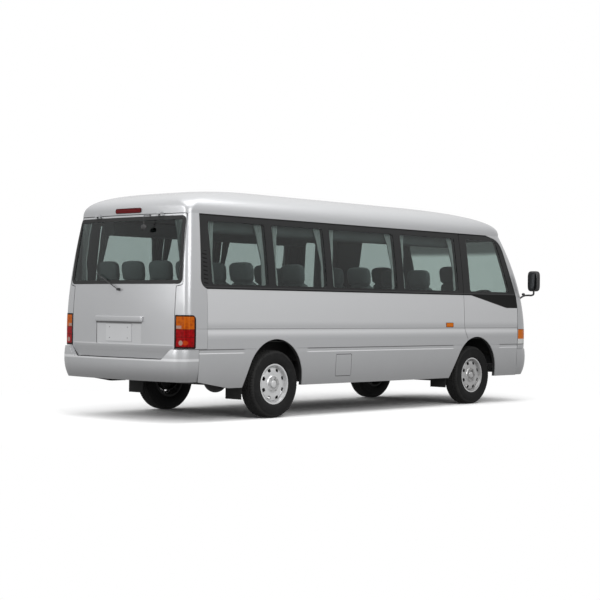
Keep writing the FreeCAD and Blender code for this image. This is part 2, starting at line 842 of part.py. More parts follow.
def build_tailgate():
    region = join([ring.common(rear_prism(gate_corners()))] + gate_hinges(True))
    region = region.cut(gate_rod(-wide, wide, gate_pin_radius + bearing_gap))
    region = region.cut(Part.makeCompound([gate_rod(side * gate_hinge_y - gate_hinge_width / 2 - relief,
                                                    side * gate_hinge_y + gate_hinge_width / 2 + relief,
                                                    gate_hinge_radius + relief) for side in (-1, 1)]))
    seat = body_block(0).cut(body_block(glass_outer + glass_thickness + seat_gap, overrun))
    skin = region.cut(seat.common(rear_prism(grown(gate_window_corners(0), seat_gap))))
    line = body_block(0).cut(body_block(groove_deep / 2, overrun))
    skin = skin.cut(line.common(box(-far, gate_inner_x, -wide, wide, gate_line_z - groove_above, gate_line_z)))
    skin = skin.cut(plate_recess())
    bar = rectangle(-garnish_width / 2, garnish_width / 2, garnish_foot_z, garnish_head_z, garnish_proud)
    ridge = body_block(-garnish_proud).cut(body_block(wall / 2, overrun)).common(rear_prism(bar))
    skin = skin.fuse(ridge)
    skin = skin.cut(rear_prism(gate_window_corners(gate_border)))
    skin = skin.cut(plate_holes(-far, gate_inner_x, (plate_z - plate_spacing_z / 2, plate_z + plate_spacing_z / 2)))
    pane = glass_layer.common(rear_prism(gate_window_corners(0)))
    rubber = body_block(-gate_seal_proud).cut(body_block(glass_outer - seat_gap, overrun))
    seal = rubber.common(rear_prism(gate_window_corners(0))).cut(rear_prism(gate_window_corners(gate_border)))
    return skin, pane, seal


def plate_recess():
    """Shallow recess with a flat floor, less the raised flat seat of the licence plate."""
    face_x = tail_at(plate_z)
    hollow = rectangle(-recess_width / 2, recess_width / 2, recess_foot_z, recess_head_z, garnish_proud)
    seat = rectangle(-plate_seat_width / 2, plate_seat_width / 2, plate_z - plate_seat_height / 2,
                     plate_z + plate_seat_height / 2, groove_deep)
    return end_prism(hollow, -far, face_x + recess_deep).cut(end_prism(seat, face_x + plate_deep, far))


view_mirror_y = -360.0
view_mirror_z = 2130.0
view_mirror_half_width = 45.0
view_mirror_half_height = 30.0
view_mirror_out = 95.0


def build_view_mirror():
    """Small round mirror on a bent arm over the rear window, for the driver to see the road close behind."""
    foot_z = (gate_window_head_z + gate_head_z) / 2
    foot_x = tail_at(foot_z) + view_mirror_y ** 2 / tail_bow / 2
    half = (gate_head_z - gate_window_head_z) / 2 - gate_seal_proud
    foot = vec(foot_x + half, view_mirror_y, foot_z)
    pad = rod(foot, foot - vec(half * 2.5, 0, 0), half)
    head = vec(foot_x - view_mirror_out, view_mirror_y, view_mirror_z)
    elbow = vec(head.x, view_mirror_y, foot_z - half)
    dish = Part.makeSphere(view_mirror_half_width)
    scale = FreeCAD.Matrix()
    scale.scale(view_mirror_half_height / view_mirror_half_width / 2, 1, view_mirror_half_height / view_mirror_half_width)
    dish = dish.transformGeometry(scale)
    dish.translate(head)
    bar = half / 2
    whole = join([pad, rod(foot, elbow, bar), Part.makeSphere(bar, elbow), rod(elbow, head, bar), dish])
    return whole.cut(body_block(-seat_gap, overrun))


def build_roof():
    shell = roof_block(0, 0).cut(roof_block(wall, wall * 0.7))
    return join([shell.cut(box(-far, far, -wide, wide, 0, header_z))] + gate_hinges(False))


def bumper_block(foot_z, head_z, front, rear, tuck, inset):
    """A bumper's plan outline carried up, tucked in at its lower edge."""
    wires = []
    for share, tucked in bumper_profile_shares:
        z = foot_z + (head_z - foot_z) * share
        pull = inset + tuck * tucked
        wires.append(plan_wire(z, front - pull, rear + pull, side_half(z) - inset - tuck * tucked / 3,
                               nose_bow - inset, tail_bow - inset, nose_corner - inset, tail_corner * 2 - inset))
    return Part.makeLoft(wires, True, False, False, loft_degree)


bumper_profile_shares = ((-0.15, 1.6), (0, 1), (0.3, 0.2), (0.55, 0), (0.85, 0.12), (1.1, 0.5))


def build_tail_bumper():
    skin = bumper_block(tail_sill_z, swage_z, nose_x, tail_x, tail_bumper_tuck, 0)
    core = bumper_block(tail_sill_z, swage_z, nose_x, tail_x, tail_bumper_tuck, bumper_wall)
    region = box(-far, tail_seam_x, -wide, wide, tail_sill_z, swage_z)
    ledge = [(gate_foot_y + shut_gap, tail_bumper_ledge_z, window_round), (gate_hip_y + shut_gap, swage_z + shut_gap, 0),
             (-gate_hip_y - shut_gap, swage_z + shut_gap, 0), (-gate_foot_y - shut_gap, tail_bumper_ledge_z, window_round)]
    return skin.cut(core).common(region).cut(rear_prism(ledge))


def build_nose_bumper():
    skin = bumper_block(nose_bumper_foot_z, nose_bumper_top_z, nose_x, tail_x, nose_bumper_tuck, 0)
    core = bumper_block(nose_bumper_foot_z, nose_bumper_top_z, nose_x, tail_x, nose_bumper_tuck, bumper_wall)
    region = box(door_front_x + shut_gap, far, -wide, wide, nose_bumper_foot_z, nose_bumper_top_z)
    return skin.cut(core).common(region).cut(plate_holes(0, far, (nose_plate_z,)))


def revolve_y(points, centre_x, centre_y, centre_z, side):
    """A closed profile of (radius, along) turned about the wheel's axle."""
    corners = [vec(centre_x, centre_y + side * a, centre_z + r) for r, a in points]
    wire = Part.makePolygon(corners + [corners[0]])
    return Part.Face(wire).revolve(vec(centre_x, centre_y, centre_z), vec(0, 1, 0), 360)


tyre_facets = 40
sidewall_shares = ((0, 1), (0.3, 1.22), (0.55, 1.42), (0.8, 1.36), (0.94, 1.22), (1, 0.98))
liner_height_share = 0.8
liner_width_shares = (0.55, 0.8)


def build_tyre():
    """A tyre about the Y axis as a many-sided ring, with a flat of the ring on the ground."""
    bead_in = rim_half_width - seat_gap
    height = tyre_radius - flange_radius - seat_gap
    wall_points = [(flange_radius + seat_gap + height * h, bead_in * w) for h, w in sidewall_shares]
    half = [(bead_radius + seat_gap, bead_in)] + wall_points
    liner = [(bead_radius + height * liner_height_share, bead_in * liner_width_shares[1]),
             (bead_radius + seat_gap, bead_in * liner_width_shares[0])]
    profile = [(r, -a) for r, a in half] + [(r, a) for r, a in reversed(half)]
    profile += [(r, a) for r, a in reversed(liner)] + [(r, -a) for r, a in liner]
    stretch = 1 / math.cos(math.pi / tyre_facets)

    def corner(i, j):
        r, a = profile[j % len(profile)]
        turn = 2 * math.pi * (i + 0.5) / tyre_facets - math.pi / 2
        return vec(r * stretch * math.cos(turn), a, r * stretch * math.sin(turn))

    faces = []
    for i in range(tyre_facets):
        for j in range(len(profile)):
            loop = [corner(i, j), corner(i, j + 1), corner(i + 1, j + 1), corner(i + 1, j)]
            faces.append(Part.Face(Part.makePolygon(loop + [loop[0]])))
    ring = Part.makeSolid(Part.makeShell(faces))
    return ring if ring.Volume > 0 else ring.reversed()


disc_outset = 58.0
hub_radius = 92.0
hub_cap_radius = 46.0
vent_ring = 166.0
vent_half_length = 25.0
vent_half_width = 12.0
hub_ring_proud = 14.0
drum_radius = 150.0
drum_inner_radius = 138.0
barrel_radius = 206.0


def build_wheel(x, y, side):
    """Pressed steel wheel with its hub and brake drum; the disc bows outwards."""
    t = disc_thickness
    e = rim_half_width + flange_thickness
    barrel = [(bead_radius, -rim_half_width), (flange_radius, -rim_half_width), (flange_radius, -e),
              (barrel_radius, -e), (barrel_radius - t, -rim_half_width * 0.3), (barrel_radius - t, rim_half_width * 0.5),
              (barrel_radius + t, e), (flange_radius, e), (flange_radius, rim_half_width),
              (bead_radius, rim_half_width), (bead_radius, rim_half_width * 0.6),
              (barrel_radius, rim_half_width * 0.3), (barrel_radius, -rim_half_width * 0.3), (bead_radius, -rim_half_width * 0.6)]
    face = [(hub_bore + bearing_gap, disc_outset), (hub_cap_radius + t, disc_outset), (hub_cap_radius + t * 1.5, disc_outset + hub_ring_proud),
            (hub_radius, disc_outset + hub_ring_proud), (hub_radius + t, disc_outset + t * 0.4),
            (vent_ring - vent_half_width - t / 2, disc_outset + t * 0.8),
            (vent_ring + vent_half_width + t / 2, disc_outset), (barrel_radius - t / 2, disc_outset - t * 2)]
    disc = face + [(r, a - t) for r, a in reversed(face)]
    hub = [(hub_bore + bearing_gap, disc_outset - t * 0.5), (hub_cap_radius, disc_outset - t * 0.5),
           (hub_cap_radius, -t), (drum_radius, -t), (drum_radius, -rim_half_width), (drum_inner_radius, -rim_half_width),
           (drum_inner_radius, -t * 2), (hub_bore + bearing_gap, -t * 2)]
    cap = [(0, disc_outset + t * 3), (hub_cap_radius * 0.5, disc_outset + t * 2.8), (hub_cap_radius * 0.85, disc_outset + t * 2.2), (hub_cap_radius, disc_outset + t),
           (hub_cap_radius, disc_outset - t * 0.5), (0, disc_outset - t * 0.5)]
    pieces = [revolve_y(p, x, y, axle_z, side) for p in (barrel, disc, hub, cap)]
    whole = join(pieces)
    holes = []
    corners = rectangle(vent_ring - vent_half_width, vent_ring + vent_half_width, -vent_half_length, vent_half_length,
                        vent_half_width - seat_gap)
    for i in range(vent_count):
        turn = 2 * math.pi * (i + 0.5) / vent_count
        c, d = math.cos(turn), math.sin(turn)
        edges = rounded_edges(corners, lambda u, v: vec(x + u * c - v * d, y + side * t, axle_z + u * d + v * c))
        holes.append(face_of(edges).extrude(vec(0, side * (disc_outset + t), 0)))
    studs = []
    for i in range(stud_count):
        turn = 2 * math.pi * i / stud_count
        ring_r = (hub_radius + hub_cap_radius + t * 1.5) / 2
        place = vec(x + ring_r * math.cos(turn), y + side * (disc_outset + t / 2), axle_z + ring_r * math.sin(turn))
        studs.append(rod(place, place + vec(0, side * t * 2, 0), stud_radius))
    return join([whole.cut(Part.makeCompound(holes))] + studs)


spindle_root_y = 20.0
ear_radius = 34.0
ear_height = 36.0
king_gap = 0.5


def build_knuckle(side):
    """Fork about the king pin, stub axle and track arm."""
    x = front_axle_x
    y = side * kingpin_y
    gap = king_gap + beam_half_height
    ears = [Part.makeCylinder(ear_radius, ear_height, vec(x, y, axle_z + gap)),
            Part.makeCylinder(ear_radius, ear_height, vec(x, y, axle_z - gap - ear_height))]
    web_y = sorted((y + side * (ear_radius + king_gap * 4), y + side * (ear_radius + spindle_root_y)))
    web = box(x - ear_radius, x + ear_radius, web_y[0], web_y[1], axle_z - gap - ear_height, axle_z + gap + ear_height)
    links = []
    for z0 in (axle_z + gap, axle_z - gap - ear_height):
        span = sorted((y, y + side * (ear_radius + spindle_root_y)))
        links.append(box(x - ear_radius, x + ear_radius, span[0], span[1], z0, z0 + ear_height))
    stub = rod(vec(x, y + side * (ear_radius + spindle_root_y / 2), axle_z),
               vec(x, side * front_wheel_y + side * (disc_outset - disc_thickness), axle_z), hub_bore)
    arm_z = axle_z - gap - ear_height
    arm_end = vec(x - track_arm_set_back, y - side * track_arm_inset, arm_z)
    arm = Part.makeCylinder(ear_radius * 0.6, ear_height * 0.6, arm_end)
    run = plan_prism([(x - ear_radius * 0.5, y - side * ear_radius * 0.6, 0), (x + ear_radius * 0.5, y + side * ear_radius * 0.4, 0),
                      (arm_end.x, arm_end.y + side * ear_radius * 0.5, 0), (arm_end.x, arm_end.y - side * ear_radius * 0.5, 0)],
                     arm_z, arm_z + ear_height * 0.6)
    body = join(ears + links + [web, stub, run, arm])
    pin = Part.makeCylinder(kingpin_radius + bearing_gap, roof_height, vec(x, y, 0))
    ball = Part.makeCylinder(ear_radius * 0.25 + bearing_gap, ear_height * 2, arm_end - vec(0, 0, ear_height))
    return body.cut(pin).cut(ball)


def track_arm_end(side):
    arm_z = axle_z - king_gap - beam_half_height - ear_height
    return vec(front_axle_x - track_arm_set_back, side * (kingpin_y - track_arm_inset), arm_z)


def build_tie_rod():
    """Rod between the two track arms; it hangs under them on two pins."""
    drop = ear_height * 0.4
    left = track_arm_end(1) - vec(0, 0, drop)
    right = track_arm_end(-1) - vec(0, 0, drop)
    bar = rod(right, left, drop * 0.8)
    pins = [Part.makeCylinder(ear_radius * 0.25, drop + ear_height * 0.5, p) for p in (left, right)]
    eyes = [Part.makeCylinder(ear_radius * 0.5, drop * 0.9, p - vec(0, 0, 0)) for p in (left, right)]
    return join([bar] + pins + eyes)


def build_front_axle():
    """Dropped beam with a king pin at each end."""
    pieces = []
    z = axle_z
    h = beam_half_height
    w = beam_half_width
    side_profile = [(kingpin_y, z - h, 0), (kingpin_y, z + h, 0), (kingpin_y - ear_radius * 2, z + h, 0),
                    (spring_y + spring_half_width * 1.5, z - beam_drop + h, 0), (-spring_y - spring_half_width * 1.5, z - beam_drop + h, 0),
                    (-kingpin_y + ear_radius * 2, z + h, 0), (-kingpin_y, z + h, 0), (-kingpin_y, z - h, 0),
                    (-kingpin_y + ear_radius * 1.2, z - h, 0), (-spring_y, z - beam_drop - h, 0),
                    (spring_y, z - beam_drop - h, 0), (kingpin_y - ear_radius * 1.2, z - h, 0)]
    pieces.append(end_prism(side_profile, front_axle_x - w, front_axle_x + w))
    for side in (-1, 1):
        foot = z - h - king_gap - ear_height
        pieces.append(Part.makeCylinder(kingpin_radius, 2 * (h + king_gap + ear_height), vec(front_axle_x, side * kingpin_y, foot)))
        pieces.append(Part.makeCylinder(ear_radius, 2 * h, vec(front_axle_x, side * kingpin_y, z - h)))
    return join(pieces)


def build_rear_axle():
    """Tube with a rounded differential, the wheel stubs and the propeller shaft."""
    reach = rear_wheel_y + disc_outset - disc_thickness
    tube_end = rear_wheel_y - rim_half_width - overrun
    tube = rod(vec(rear_axle_x, -tube_end, axle_z), vec(rear_axle_x, tube_end, axle_z), housing_radius)
    stub = rod(vec(rear_axle_x, -reach, axle_z), vec(rear_axle_x, reach, axle_z), hub_bore)
    bulb = Part.makeSphere(housing_radius * 2.3, vec(rear_axle_x, 0, axle_z))
    bulb = bulb.common(box(-far, far, -housing_radius * 1.7, housing_radius * 1.7, 0, roof_height))
    shaft = rod(vec(rear_axle_x, 0, axle_z), vec(engine_front_x, 0, engine_foot_z + housing_radius), housing_radius / 2)
    shaft = shaft.common(box(-far, engine_rear_x + overrun / 2 - seat_gap, -wide, wide, 0, roof_height))
    return join([tube, stub, bulb, shaft])


spring_reach = 620.0
spring_leaf = 9.0


def build_springs():
    """Leaf packs: the main leaf bows between the two eyes, shorter leaves lie under it."""
    packs = []
    for axle_x, top in ((front_axle_x, axle_z - beam_drop + beam_half_height), (rear_axle_x, axle_z + housing_radius)):
        for side in (-1, 1):
            y0 = side * spring_y - spring_half_width
            z0 = top + seat_gap
            leaves = []
            for i in range(4):
                reach = spring_reach * (1 - 0.2 * (3 - i))
                foot = z0 + spring_leaf * i
                leaves.append(box(axle_x - reach, axle_x + reach, y0, y0 + 2 * spring_half_width, foot, foot + spring_leaf))
            eye_z = z0 + spring_leaf * 4
            for end in (-1, 1):
                ex = axle_x + end * spring_reach
                shackle = box(ex - spring_leaf * 2, ex + spring_leaf * 2, y0, y0 + 2 * spring_half_width, eye_z - spring_leaf, rail_foot_z)
                leaves.append(shackle)
            packs.append(join(leaves))
    return packs


cross_shares = (-0.94, -0.6, -0.16, 0.18, 0.46, 0.9)
outrigger_shares = (-0.86, -0.38, -0.16, 0.1, 0.388, 0.82)


def bumper_room(gap):
    """The space inside both bumpers, with the middle of the body left free."""
    nose = bumper_block(nose_bumper_foot_z, nose_bumper_top_z, nose_x, tail_x, nose_bumper_tuck, bumper_wall + gap)
    tail = bumper_block(tail_sill_z, swage_z, nose_x, tail_x, tail_bumper_tuck, bumper_wall + gap)
    return nose, tail


def clear_of_bumpers(shape):
    """Cut a shape back to what lies inside the bumpers, below their upper edges."""
    nose, tail = bumper_room(seat_gap)
    shape = shape.cut(box(door_front_x, far, -wide, wide, 0, nose_bumper_top_z + seat_gap).cut(nose))
    return shape.cut(box(-far, tail_seam_x + seam_gap, -wide, wide, 0, swage_z + seat_gap).cut(tail))


def build_frame():
    """Two rails with their spring seats, and between and over them cross members and floor bearers."""
    nose, tail = bumper_room(seat_gap)
    room = join([nose.common(box(0, far, -wide, wide, 0, roof_height)), tail.common(box(-far, seam_gap, -wide, wide, 0, roof_height))])
    pieces = []
    for side in (-1, 1):
        y0 = side * rail_y
        rail = [box(-far, far, y0 - rail_half_width, y0 + rail_half_width, rail_foot_z, rail_head_z)]
        seat_y = side * (spring_y + spring_half_width)
        span = sorted((y0, seat_y))
        for axle_x in (front_axle_x, rear_axle_x):
            for end in (-1, 1):
                ex = axle_x + end * spring_reach
                rail.append(box(ex - overrun, ex + overrun, span[0], span[1], rail_foot_z, rail_foot_z + overrun))
        pieces.append(join(rail).common(room))
    reach = rail_y - rail_half_width - seat_gap
    for share in cross_shares:
        x = share * nose_x
        member = box(x - overrun, x + overrun, -reach, reach, rail_foot_z + rail_half_width / 2, rail_head_z - rail_half_width / 2)
        pieces.append(member.common(room))
    reach = jamb_deep - seat_gap
    for share in outrigger_shares:
        x = share * nose_x
        bearer = box(x - overrun, x + overrun, -reach, reach, rail_head_z + seat_gap, floor_foot_z - seat_gap)
        pieces.append(bearer.common(room))
    return pieces


well_reach = 500.0
well_head_z = 880.0
front_well_inner_y = 470.0
rear_well_inner_y = 700.0
step_y = 600.0
step_tread_z = 580.0
landing_y = 446.0
engine_rear_x = 1730.0
engine_front_x = 2780.0
engine_half_width = 330.0
engine_head_z = 985.0
engine_foot_z = 425.0


def build_floor():
    """Cabin floor, wheel wells, entrance steps and engine cover, each a piece of its own."""
    w = well_wall
    g = seat_gap
    slab = box(-far, far, -wide, wide, floor_foot_z, floor_head_z)
    wells = []
    for axle_x, inner_y in ((front_axle_x, front_well_inner_y), (rear_axle_x, rear_well_inner_y)):
        for side in (-1, 1):
            span = sorted((side * inner_y, side * wide))
            well = box(axle_x - well_reach, axle_x + well_reach, span[0], span[1], floor_foot_z, well_head_z)
            hollow = sorted((side * (inner_y + w), side * wide * 2))
            wells.append(well.cut(box(axle_x - well_reach + w, axle_x + well_reach - w, hollow[0], hollow[1], 0, well_head_z - w)))
            hole = sorted((side * (inner_y - g), side * wide))
            slab = slab.cut(box(axle_x - well_reach - g, axle_x + well_reach + g, hole[0], hole[1], 0, roof_height))
    x0 = entrance_rear_x - shut_gap
    x1 = entrance_front_x + shut_gap
    tread = entrance_foot_z - shut_gap * 3
    steps = box(x0 - w, x1 + w, landing_y - w, wide, tread - w, floor_head_z)
    for cut in (box(x0, x1, step_y, wide * 2, tread, roof_height), box(x0, x1, landing_y, wide * 2, step_tread_z, roof_height),
                box(x0 - w, x1 + w, landing_y - w, step_y - w, 0, step_tread_z - w)):
        steps = steps.cut(cut)
    slab = slab.cut(box(x0 - w - g, x1 + w + g, landing_y - w - g, wide, 0, roof_height))
    cover = box(engine_rear_x - w, engine_front_x + w, -engine_half_width - w, engine_half_width + w, floor_foot_z,
                engine_head_z + overrun)
    cover = cover.cut(box(engine_rear_x, engine_front_x, -engine_half_width, engine_half_width, 0, engine_head_z + overrun - w))
    slab = slab.cut(box(engine_rear_x - w - g, engine_front_x + w + g, -engine_half_width - w - g, engine_half_width + w + g,
                        0, roof_height))
    room = body_block(wall + g, overrun)
    jamb = box(entrance_rear_x - wall - g, entrance_front_x + wall + g, jamb_deep - g, wide, entrance_foot_z - shut_gap - g, roof_height)
    jamb = jamb.cut(box(x0 + g, x1 - g, 0, wide, 0, roof_height))
    door_zone = box(door_rear_x - wall, door_front_x + wall, -wide, 0, 0, roof_height).cut(body_block(wall + door_room, overrun))
    pins = leaf_pin(tread - w / 2, entrance_foot_z + leaf_pin_set_back, leaf_pin_radius)
    pins = join([pins.common(room), pins.common(box(-far, far, 0, wide, entrance_foot_z - shut_gap + g, roof_height))])
    steps = join([steps.common(room).cut(jamb), pins])
    rest = [piece.common(room).cut(door_zone).cut(jamb) for piece in [slab, cover] + wells]
    return [clear_of_bumpers(rest[0])] + rest[1:] + [steps]


def build_engine():
    margin = overrun / 2
    block = box(engine_rear_x + margin, engine_front_x - margin, -engine_half_width + margin, engine_half_width - margin,
                rail_head_z, engine_head_z)
    sump = box(engine_rear_x + margin, engine_front_x - margin, -rail_y + rail_half_width * 2, rail_y - rail_half_width * 2,
               engine_foot_z, rail_head_z)
    ears = box((engine_rear_x + engine_front_x) / 2 - margin, (engine_rear_x + engine_front_x) / 2 + margin, -rail_y, rail_y, rail_head_z,
               rail_head_z + margin)
    return join([block, sump, ears])


seat_depth = 430.0
cushion_thick = 130.0
back_thick = 110.0
back_lean = 110.0


def seat_solid(x, y, foot_z):
    """One seat: cushion, leaning back and head rest as one soft form, back at x."""
    half = seat_width / 2 - seam_gap
    top = foot_z + seat_top_z - seat_cushion_z
    profile = [(x + seat_depth, foot_z, overrun), (x + seat_depth, foot_z - cushion_thick, overrun), (x, foot_z - cushion_thick, overrun),
               (x - back_lean - back_thick * 0.6, top - overrun, overrun * 0.8), (x - back_lean - back_thick * 0.4, top, overrun * 0.8),
               (x - back_lean + back_thick * 0.2, top, overrun * 0.8), (x + back_thick * 0.5, foot_z, overrun * 0.6)]
    return side_prism(profile, y - half, y + half)


window_seat_share = 1.57
aisle_seat_share = 0.54


def seat_places():
    """Seat back x, seat middle y and cushion height of every seat."""
    places = []
    for x in seat_rows_x:
        row = [-window_seat_share, -aisle_seat_share]
        if x == seat_rows_x[0]:
            row += [aisle_seat_share, window_seat_share]
        elif x < entrance_rear_x - seat_depth:
            row.append(window_seat_share)
        places += [(x, seat_pitch_y * share, seat_cushion_z) for share in row]
    return places


cab_seat_x = 2080.0
cab_seat_y = 600.0
cab_seat_z = 1190.0


def build_seats():
    seats = [seat_solid(x, y, z) for x, y, z in seat_places()]
    for side in (-1, 1):
        seats.append(seat_solid(cab_seat_x, side * cab_seat_y, cab_seat_z))
    return seats


leg_half = 18.0


def stand_foot(x, y):
    """A leg stands on the floor, or on the wheel well under it."""
    for axle_x, inner_y in ((front_axle_x, front_well_inner_y), (rear_axle_x, rear_well_inner_y)):
        if abs(x - axle_x) < well_reach + leg_half and abs(y) > inner_y - leg_half:
            return well_head_z
    return floor_head_z


def build_seat_frames():
    """Four-legged stands under the passenger seats and boxes under the cab seats."""
    stands = []
    for side in (-1, 1):
        span = sorted((side * (front_well_inner_y + leg_half), side * (cab_seat_y + seat_width / 2 - overrun)))
        stands.append(box(cab_seat_x + overrun, cab_seat_x + seat_depth - overrun, span[0], span[1], well_head_z,
                          cab_seat_z - cushion_thick - seat_gap))
    for x, y, z in seat_places():
        top = z - cushion_thick - seat_gap
        rows = []
        for dx in (overrun * 1.5, seat_depth - overrun * 1.5):
            for dy in (-seat_width / 2 + overrun, seat_width / 2 - overrun):
                foot = stand_foot(x + dx, y + dy)
                rows.append(box(x + dx - leg_half, x + dx + leg_half, y + dy - leg_half, y + dy + leg_half, foot, top))
        rows.append(box(x + overrun, x + seat_depth - overrun, y - seat_width / 2 + overrun / 2, y + seat_width / 2 - overrun / 2, top - leg_half, top))
        stands.append(join(rows))
    return stands


curtain_thick = 24.0
curtain_width = 135.0
curtain_head_z = 2240.0
curtain_foot_z = 1500.0


def build_curtains():
    """Gathered curtains at both ends of each side window."""
    layer = body_block(wall + seat_gap).cut(body_block(wall + seat_gap + curtain_thick, overrun))
    pieces = []
    for side, spans in ((-1, window_spans), (1, window_spans[:3])):
        for rear, front in spans:
            for x0, x1 in ((rear, rear + curtain_width), (front - curtain_width, front)):
                span = sorted((0, side * wide))
                pieces.append(layer.common(box(x0, x1, span[0], span[1], curtain_foot_z, curtain_head_z)))
    return pieces


gate_curtain_inner_y = 690.0
gate_curtain_outer_y = 865.0


def build_gate_curtains():
    """Gathered curtains at both ends of the rear window, hung inside the tailgate."""
    layer = body_block(wall + seat_gap).cut(body_block(wall + seat_gap + curtain_thick, overrun))
    curtain = layer.common(box(-far, gate_inner_x + curtain_thick, gate_curtain_inner_y, gate_curtain_outer_y, curtain_foot_z, curtain_head_z))
    return [curtain, mirror_y(curtain)]


dash_head_z = 1270.0
dash_foot_z = 1010.0
dash_rear_x = 2960.0
wheel_rim_radius = 215.0
wheel_rim_bar = 14.0
wheel_x = 2770.0
wheel_y = -480.0
wheel_z = 1430.0
column_length = 480.0
column_lean = 30.0


def build_dashboard():
    """Dashboard across the cab with the steering column and its wheel."""
    room = body_block(wall + seat_gap, overrun)
    block = side_prism([(dash_rear_x, dash_foot_z, 0), (far, dash_foot_z - overrun, 0), (far, dash_head_z, 0),
                        (dash_rear_x + overrun, dash_head_z, overrun)], -wide, wide).common(room)
    block = block.cut(box(dash_rear_x - overrun, door_front_x + overrun * 2, -wide, -half_width + wall + door_room, 0, roof_height))
    lean = math.radians(column_lean)
    axis = vec(-math.sin(lean), 0, math.cos(lean))
    centre = vec(wheel_x, wheel_y, wheel_z)
    torus = Part.makeTorus(wheel_rim_radius, wheel_rim_bar, centre, axis)
    boss = Part.makeCylinder(overrun * 1.4, overrun, centre - axis * overrun * 1.2, axis)
    foot = centre - axis * column_length
    column = rod(foot, centre - axis * overrun * 0.5, overrun * 0.7)
    spokes = []
    for turn in (0, 180, 270):
        way = vec(0, 1, 0)
        spin = FreeCAD.Rotation(axis, turn)
        end = centre + spin.multVec(way) * wheel_rim_radius
        spokes.append(rod(centre - axis * overrun * 0.6, end, wheel_rim_bar * 0.8))
    return join([block, torus, boss, column] + spokes)


flap_plate = 6.0
front_flap_set_back = 620.0
rear_flap_set_back = 520.0
front_flap_foot_z = 240.0
rear_flap_foot_z = 228.0
mud_flap_inner_y = 700.0


def build_mud_flaps():
    """Rubber flaps behind the four wheels."""
    flaps = []
    for axle_x, back, foot in ((front_axle_x, front_flap_set_back, front_flap_foot_z), (rear_axle_x, rear_flap_set_back, rear_flap_foot_z)):
        for side in (-1, 1):
            span = sorted((side * mud_flap_inner_y, side * (side_half(foot) - wall - shut_gap)))
            x = axle_x - back
            flaps.append(box(x - flap_plate, x, span[0], span[1], foot, floor_foot_z))
    return flaps


def flap_rod(z0, z1, radius):
    """Rod on the flap's hinge axis, just inside the skin at its front edge."""
    x = flap_front_x - flap_axis_set_back
    lean = (side_half(flap_head_z) - side_half(flap_foot_z)) / (flap_head_z - flap_foot_z)

    def at(z):
        return vec(x, flap_axis_deep - side_half(flap_foot_z) - lean * (z - flap_foot_z), z)

    return rod(at(z0), at(z1), radius)


flap_middle_z = (flap_foot_z + flap_head_z) / 2


def build_fuel_lid():
    lid = ring_right.common(side_prism(flap_corners, -wide, 0)).cut(body_block(flap_wall, overrun))
    lid = lid.cut(flap_rod(flap_foot_z - overrun, flap_head_z + overrun, flap_eye_radius + relief))
    spine = flap_rod(flap_middle_z - overrun, flap_middle_z + overrun, flap_eye_radius)
    return join([lid, spine]).cut(flap_rod(flap_foot_z - overrun, flap_head_z + overrun, flap_pin_radius + bearing_gap))


mirror_head_width = 180.0
mirror_head_height = 285.0
mirror_head_depth = 80.0
mirror_x = 3215.0
mirror_y_mid = 1130.0
mirror_z = 1675.0
mirror_arm_radius = 11.0
mirror_foot_z = 1420.0


def build_mirrors():
    """Outside mirrors on bent arms at the front corners, and the view-down mirror over the rear window."""
    pieces = []
    foot_y = side_half(mirror_foot_z) - nose_corner * 0.25
    foot_x = nose_at(mirror_foot_z) - nose_corner * 0.9
    head = box(mirror_x - mirror_head_depth / 2, mirror_x + mirror_head_depth / 2, mirror_y_mid - mirror_head_width / 2,
               mirror_y_mid + mirror_head_width / 2, mirror_z - mirror_head_height / 2, mirror_z + mirror_head_height / 2)
    head = head.makeFillet(mirror_head_depth * 0.3, head.Edges)
    low = mirror_z - mirror_head_height / 2 - mirror_arm_radius * 3
    a = vec(foot_x, foot_y, mirror_foot_z)
    b = vec(mirror_x, foot_y + mirror_arm_radius * 6, low)
    c = vec(mirror_x, mirror_y_mid, low)
    d = vec(mirror_x, mirror_y_mid, mirror_z)
    arm = join([rod(a, b, mirror_arm_radius), Part.makeSphere(mirror_arm_radius, b), rod(b, c, mirror_arm_radius),
                Part.makeSphere(mirror_arm_radius, c), rod(c, d, mirror_arm_radius)]).cut(outer_tall)
    left = join([head, arm])
    pieces += [left, mirror_y(left)]
    return pieces


def build_brake_lamp():
    half = brake_lamp_width / 2
    corners = rectangle(-half, half, brake_lamp_foot_z, brake_lamp_head_z, seam_gap * 8)
    block = rear_prism(corners)
    return roof_block(-lamp_proud * 3, 0).cut(roof_block(-seat_gap, 0)).common(block)


wiper_bar = 9.0
wiper_rise = 180.0
wiper_reach = 400.0


def build_rear_wiper():
    z0 = gate_shoulder_z - overrun
    pivot = vec(tail_at(z0), 0, z0)
    base = rod(pivot + vec(wiper_bar, 0, 0), pivot - vec(wiper_bar * 4, 0, 0), wiper_bar * 1.7)
    tip = vec(tail_at(z0 + wiper_rise) - wiper_bar * 2.5, wiper_reach, z0 + wiper_rise)
    arm = rod(pivot - vec(wiper_bar * 3, 0, 0), tip, wiper_bar * 0.6)
    return join([base, arm]).cut(outer)


def build_front_wipers():
    wipers = []
    for y in (-overrun * 16, overrun * 4):
        z0 = screen_foot_z - overrun
        foot = vec(nose_at(z0) - y * y / nose_bow / 2, y, z0)
        base = rod(foot - vec(wiper_bar * 2, 0, 0), foot + vec(wiper_bar * 3, 0, 0), wiper_bar * 1.7)
        end_y = y + overrun * 13
        tip_z = z0 + overrun * 2
        tip = vec(nose_at(tip_z) + wiper_bar * 2.5, end_y, tip_z)
        wipers.append(join([base, rod(foot + vec(wiper_bar * 2.5, 0, 0), tip, wiper_bar * 0.6)]).cut(outer))
    return wipers


tank_rear_x = -1000.0
tank_front_x = -300.0
silencer_rear_x = -1100.0
silencer_length = 700.0
pipe_length = 500.0


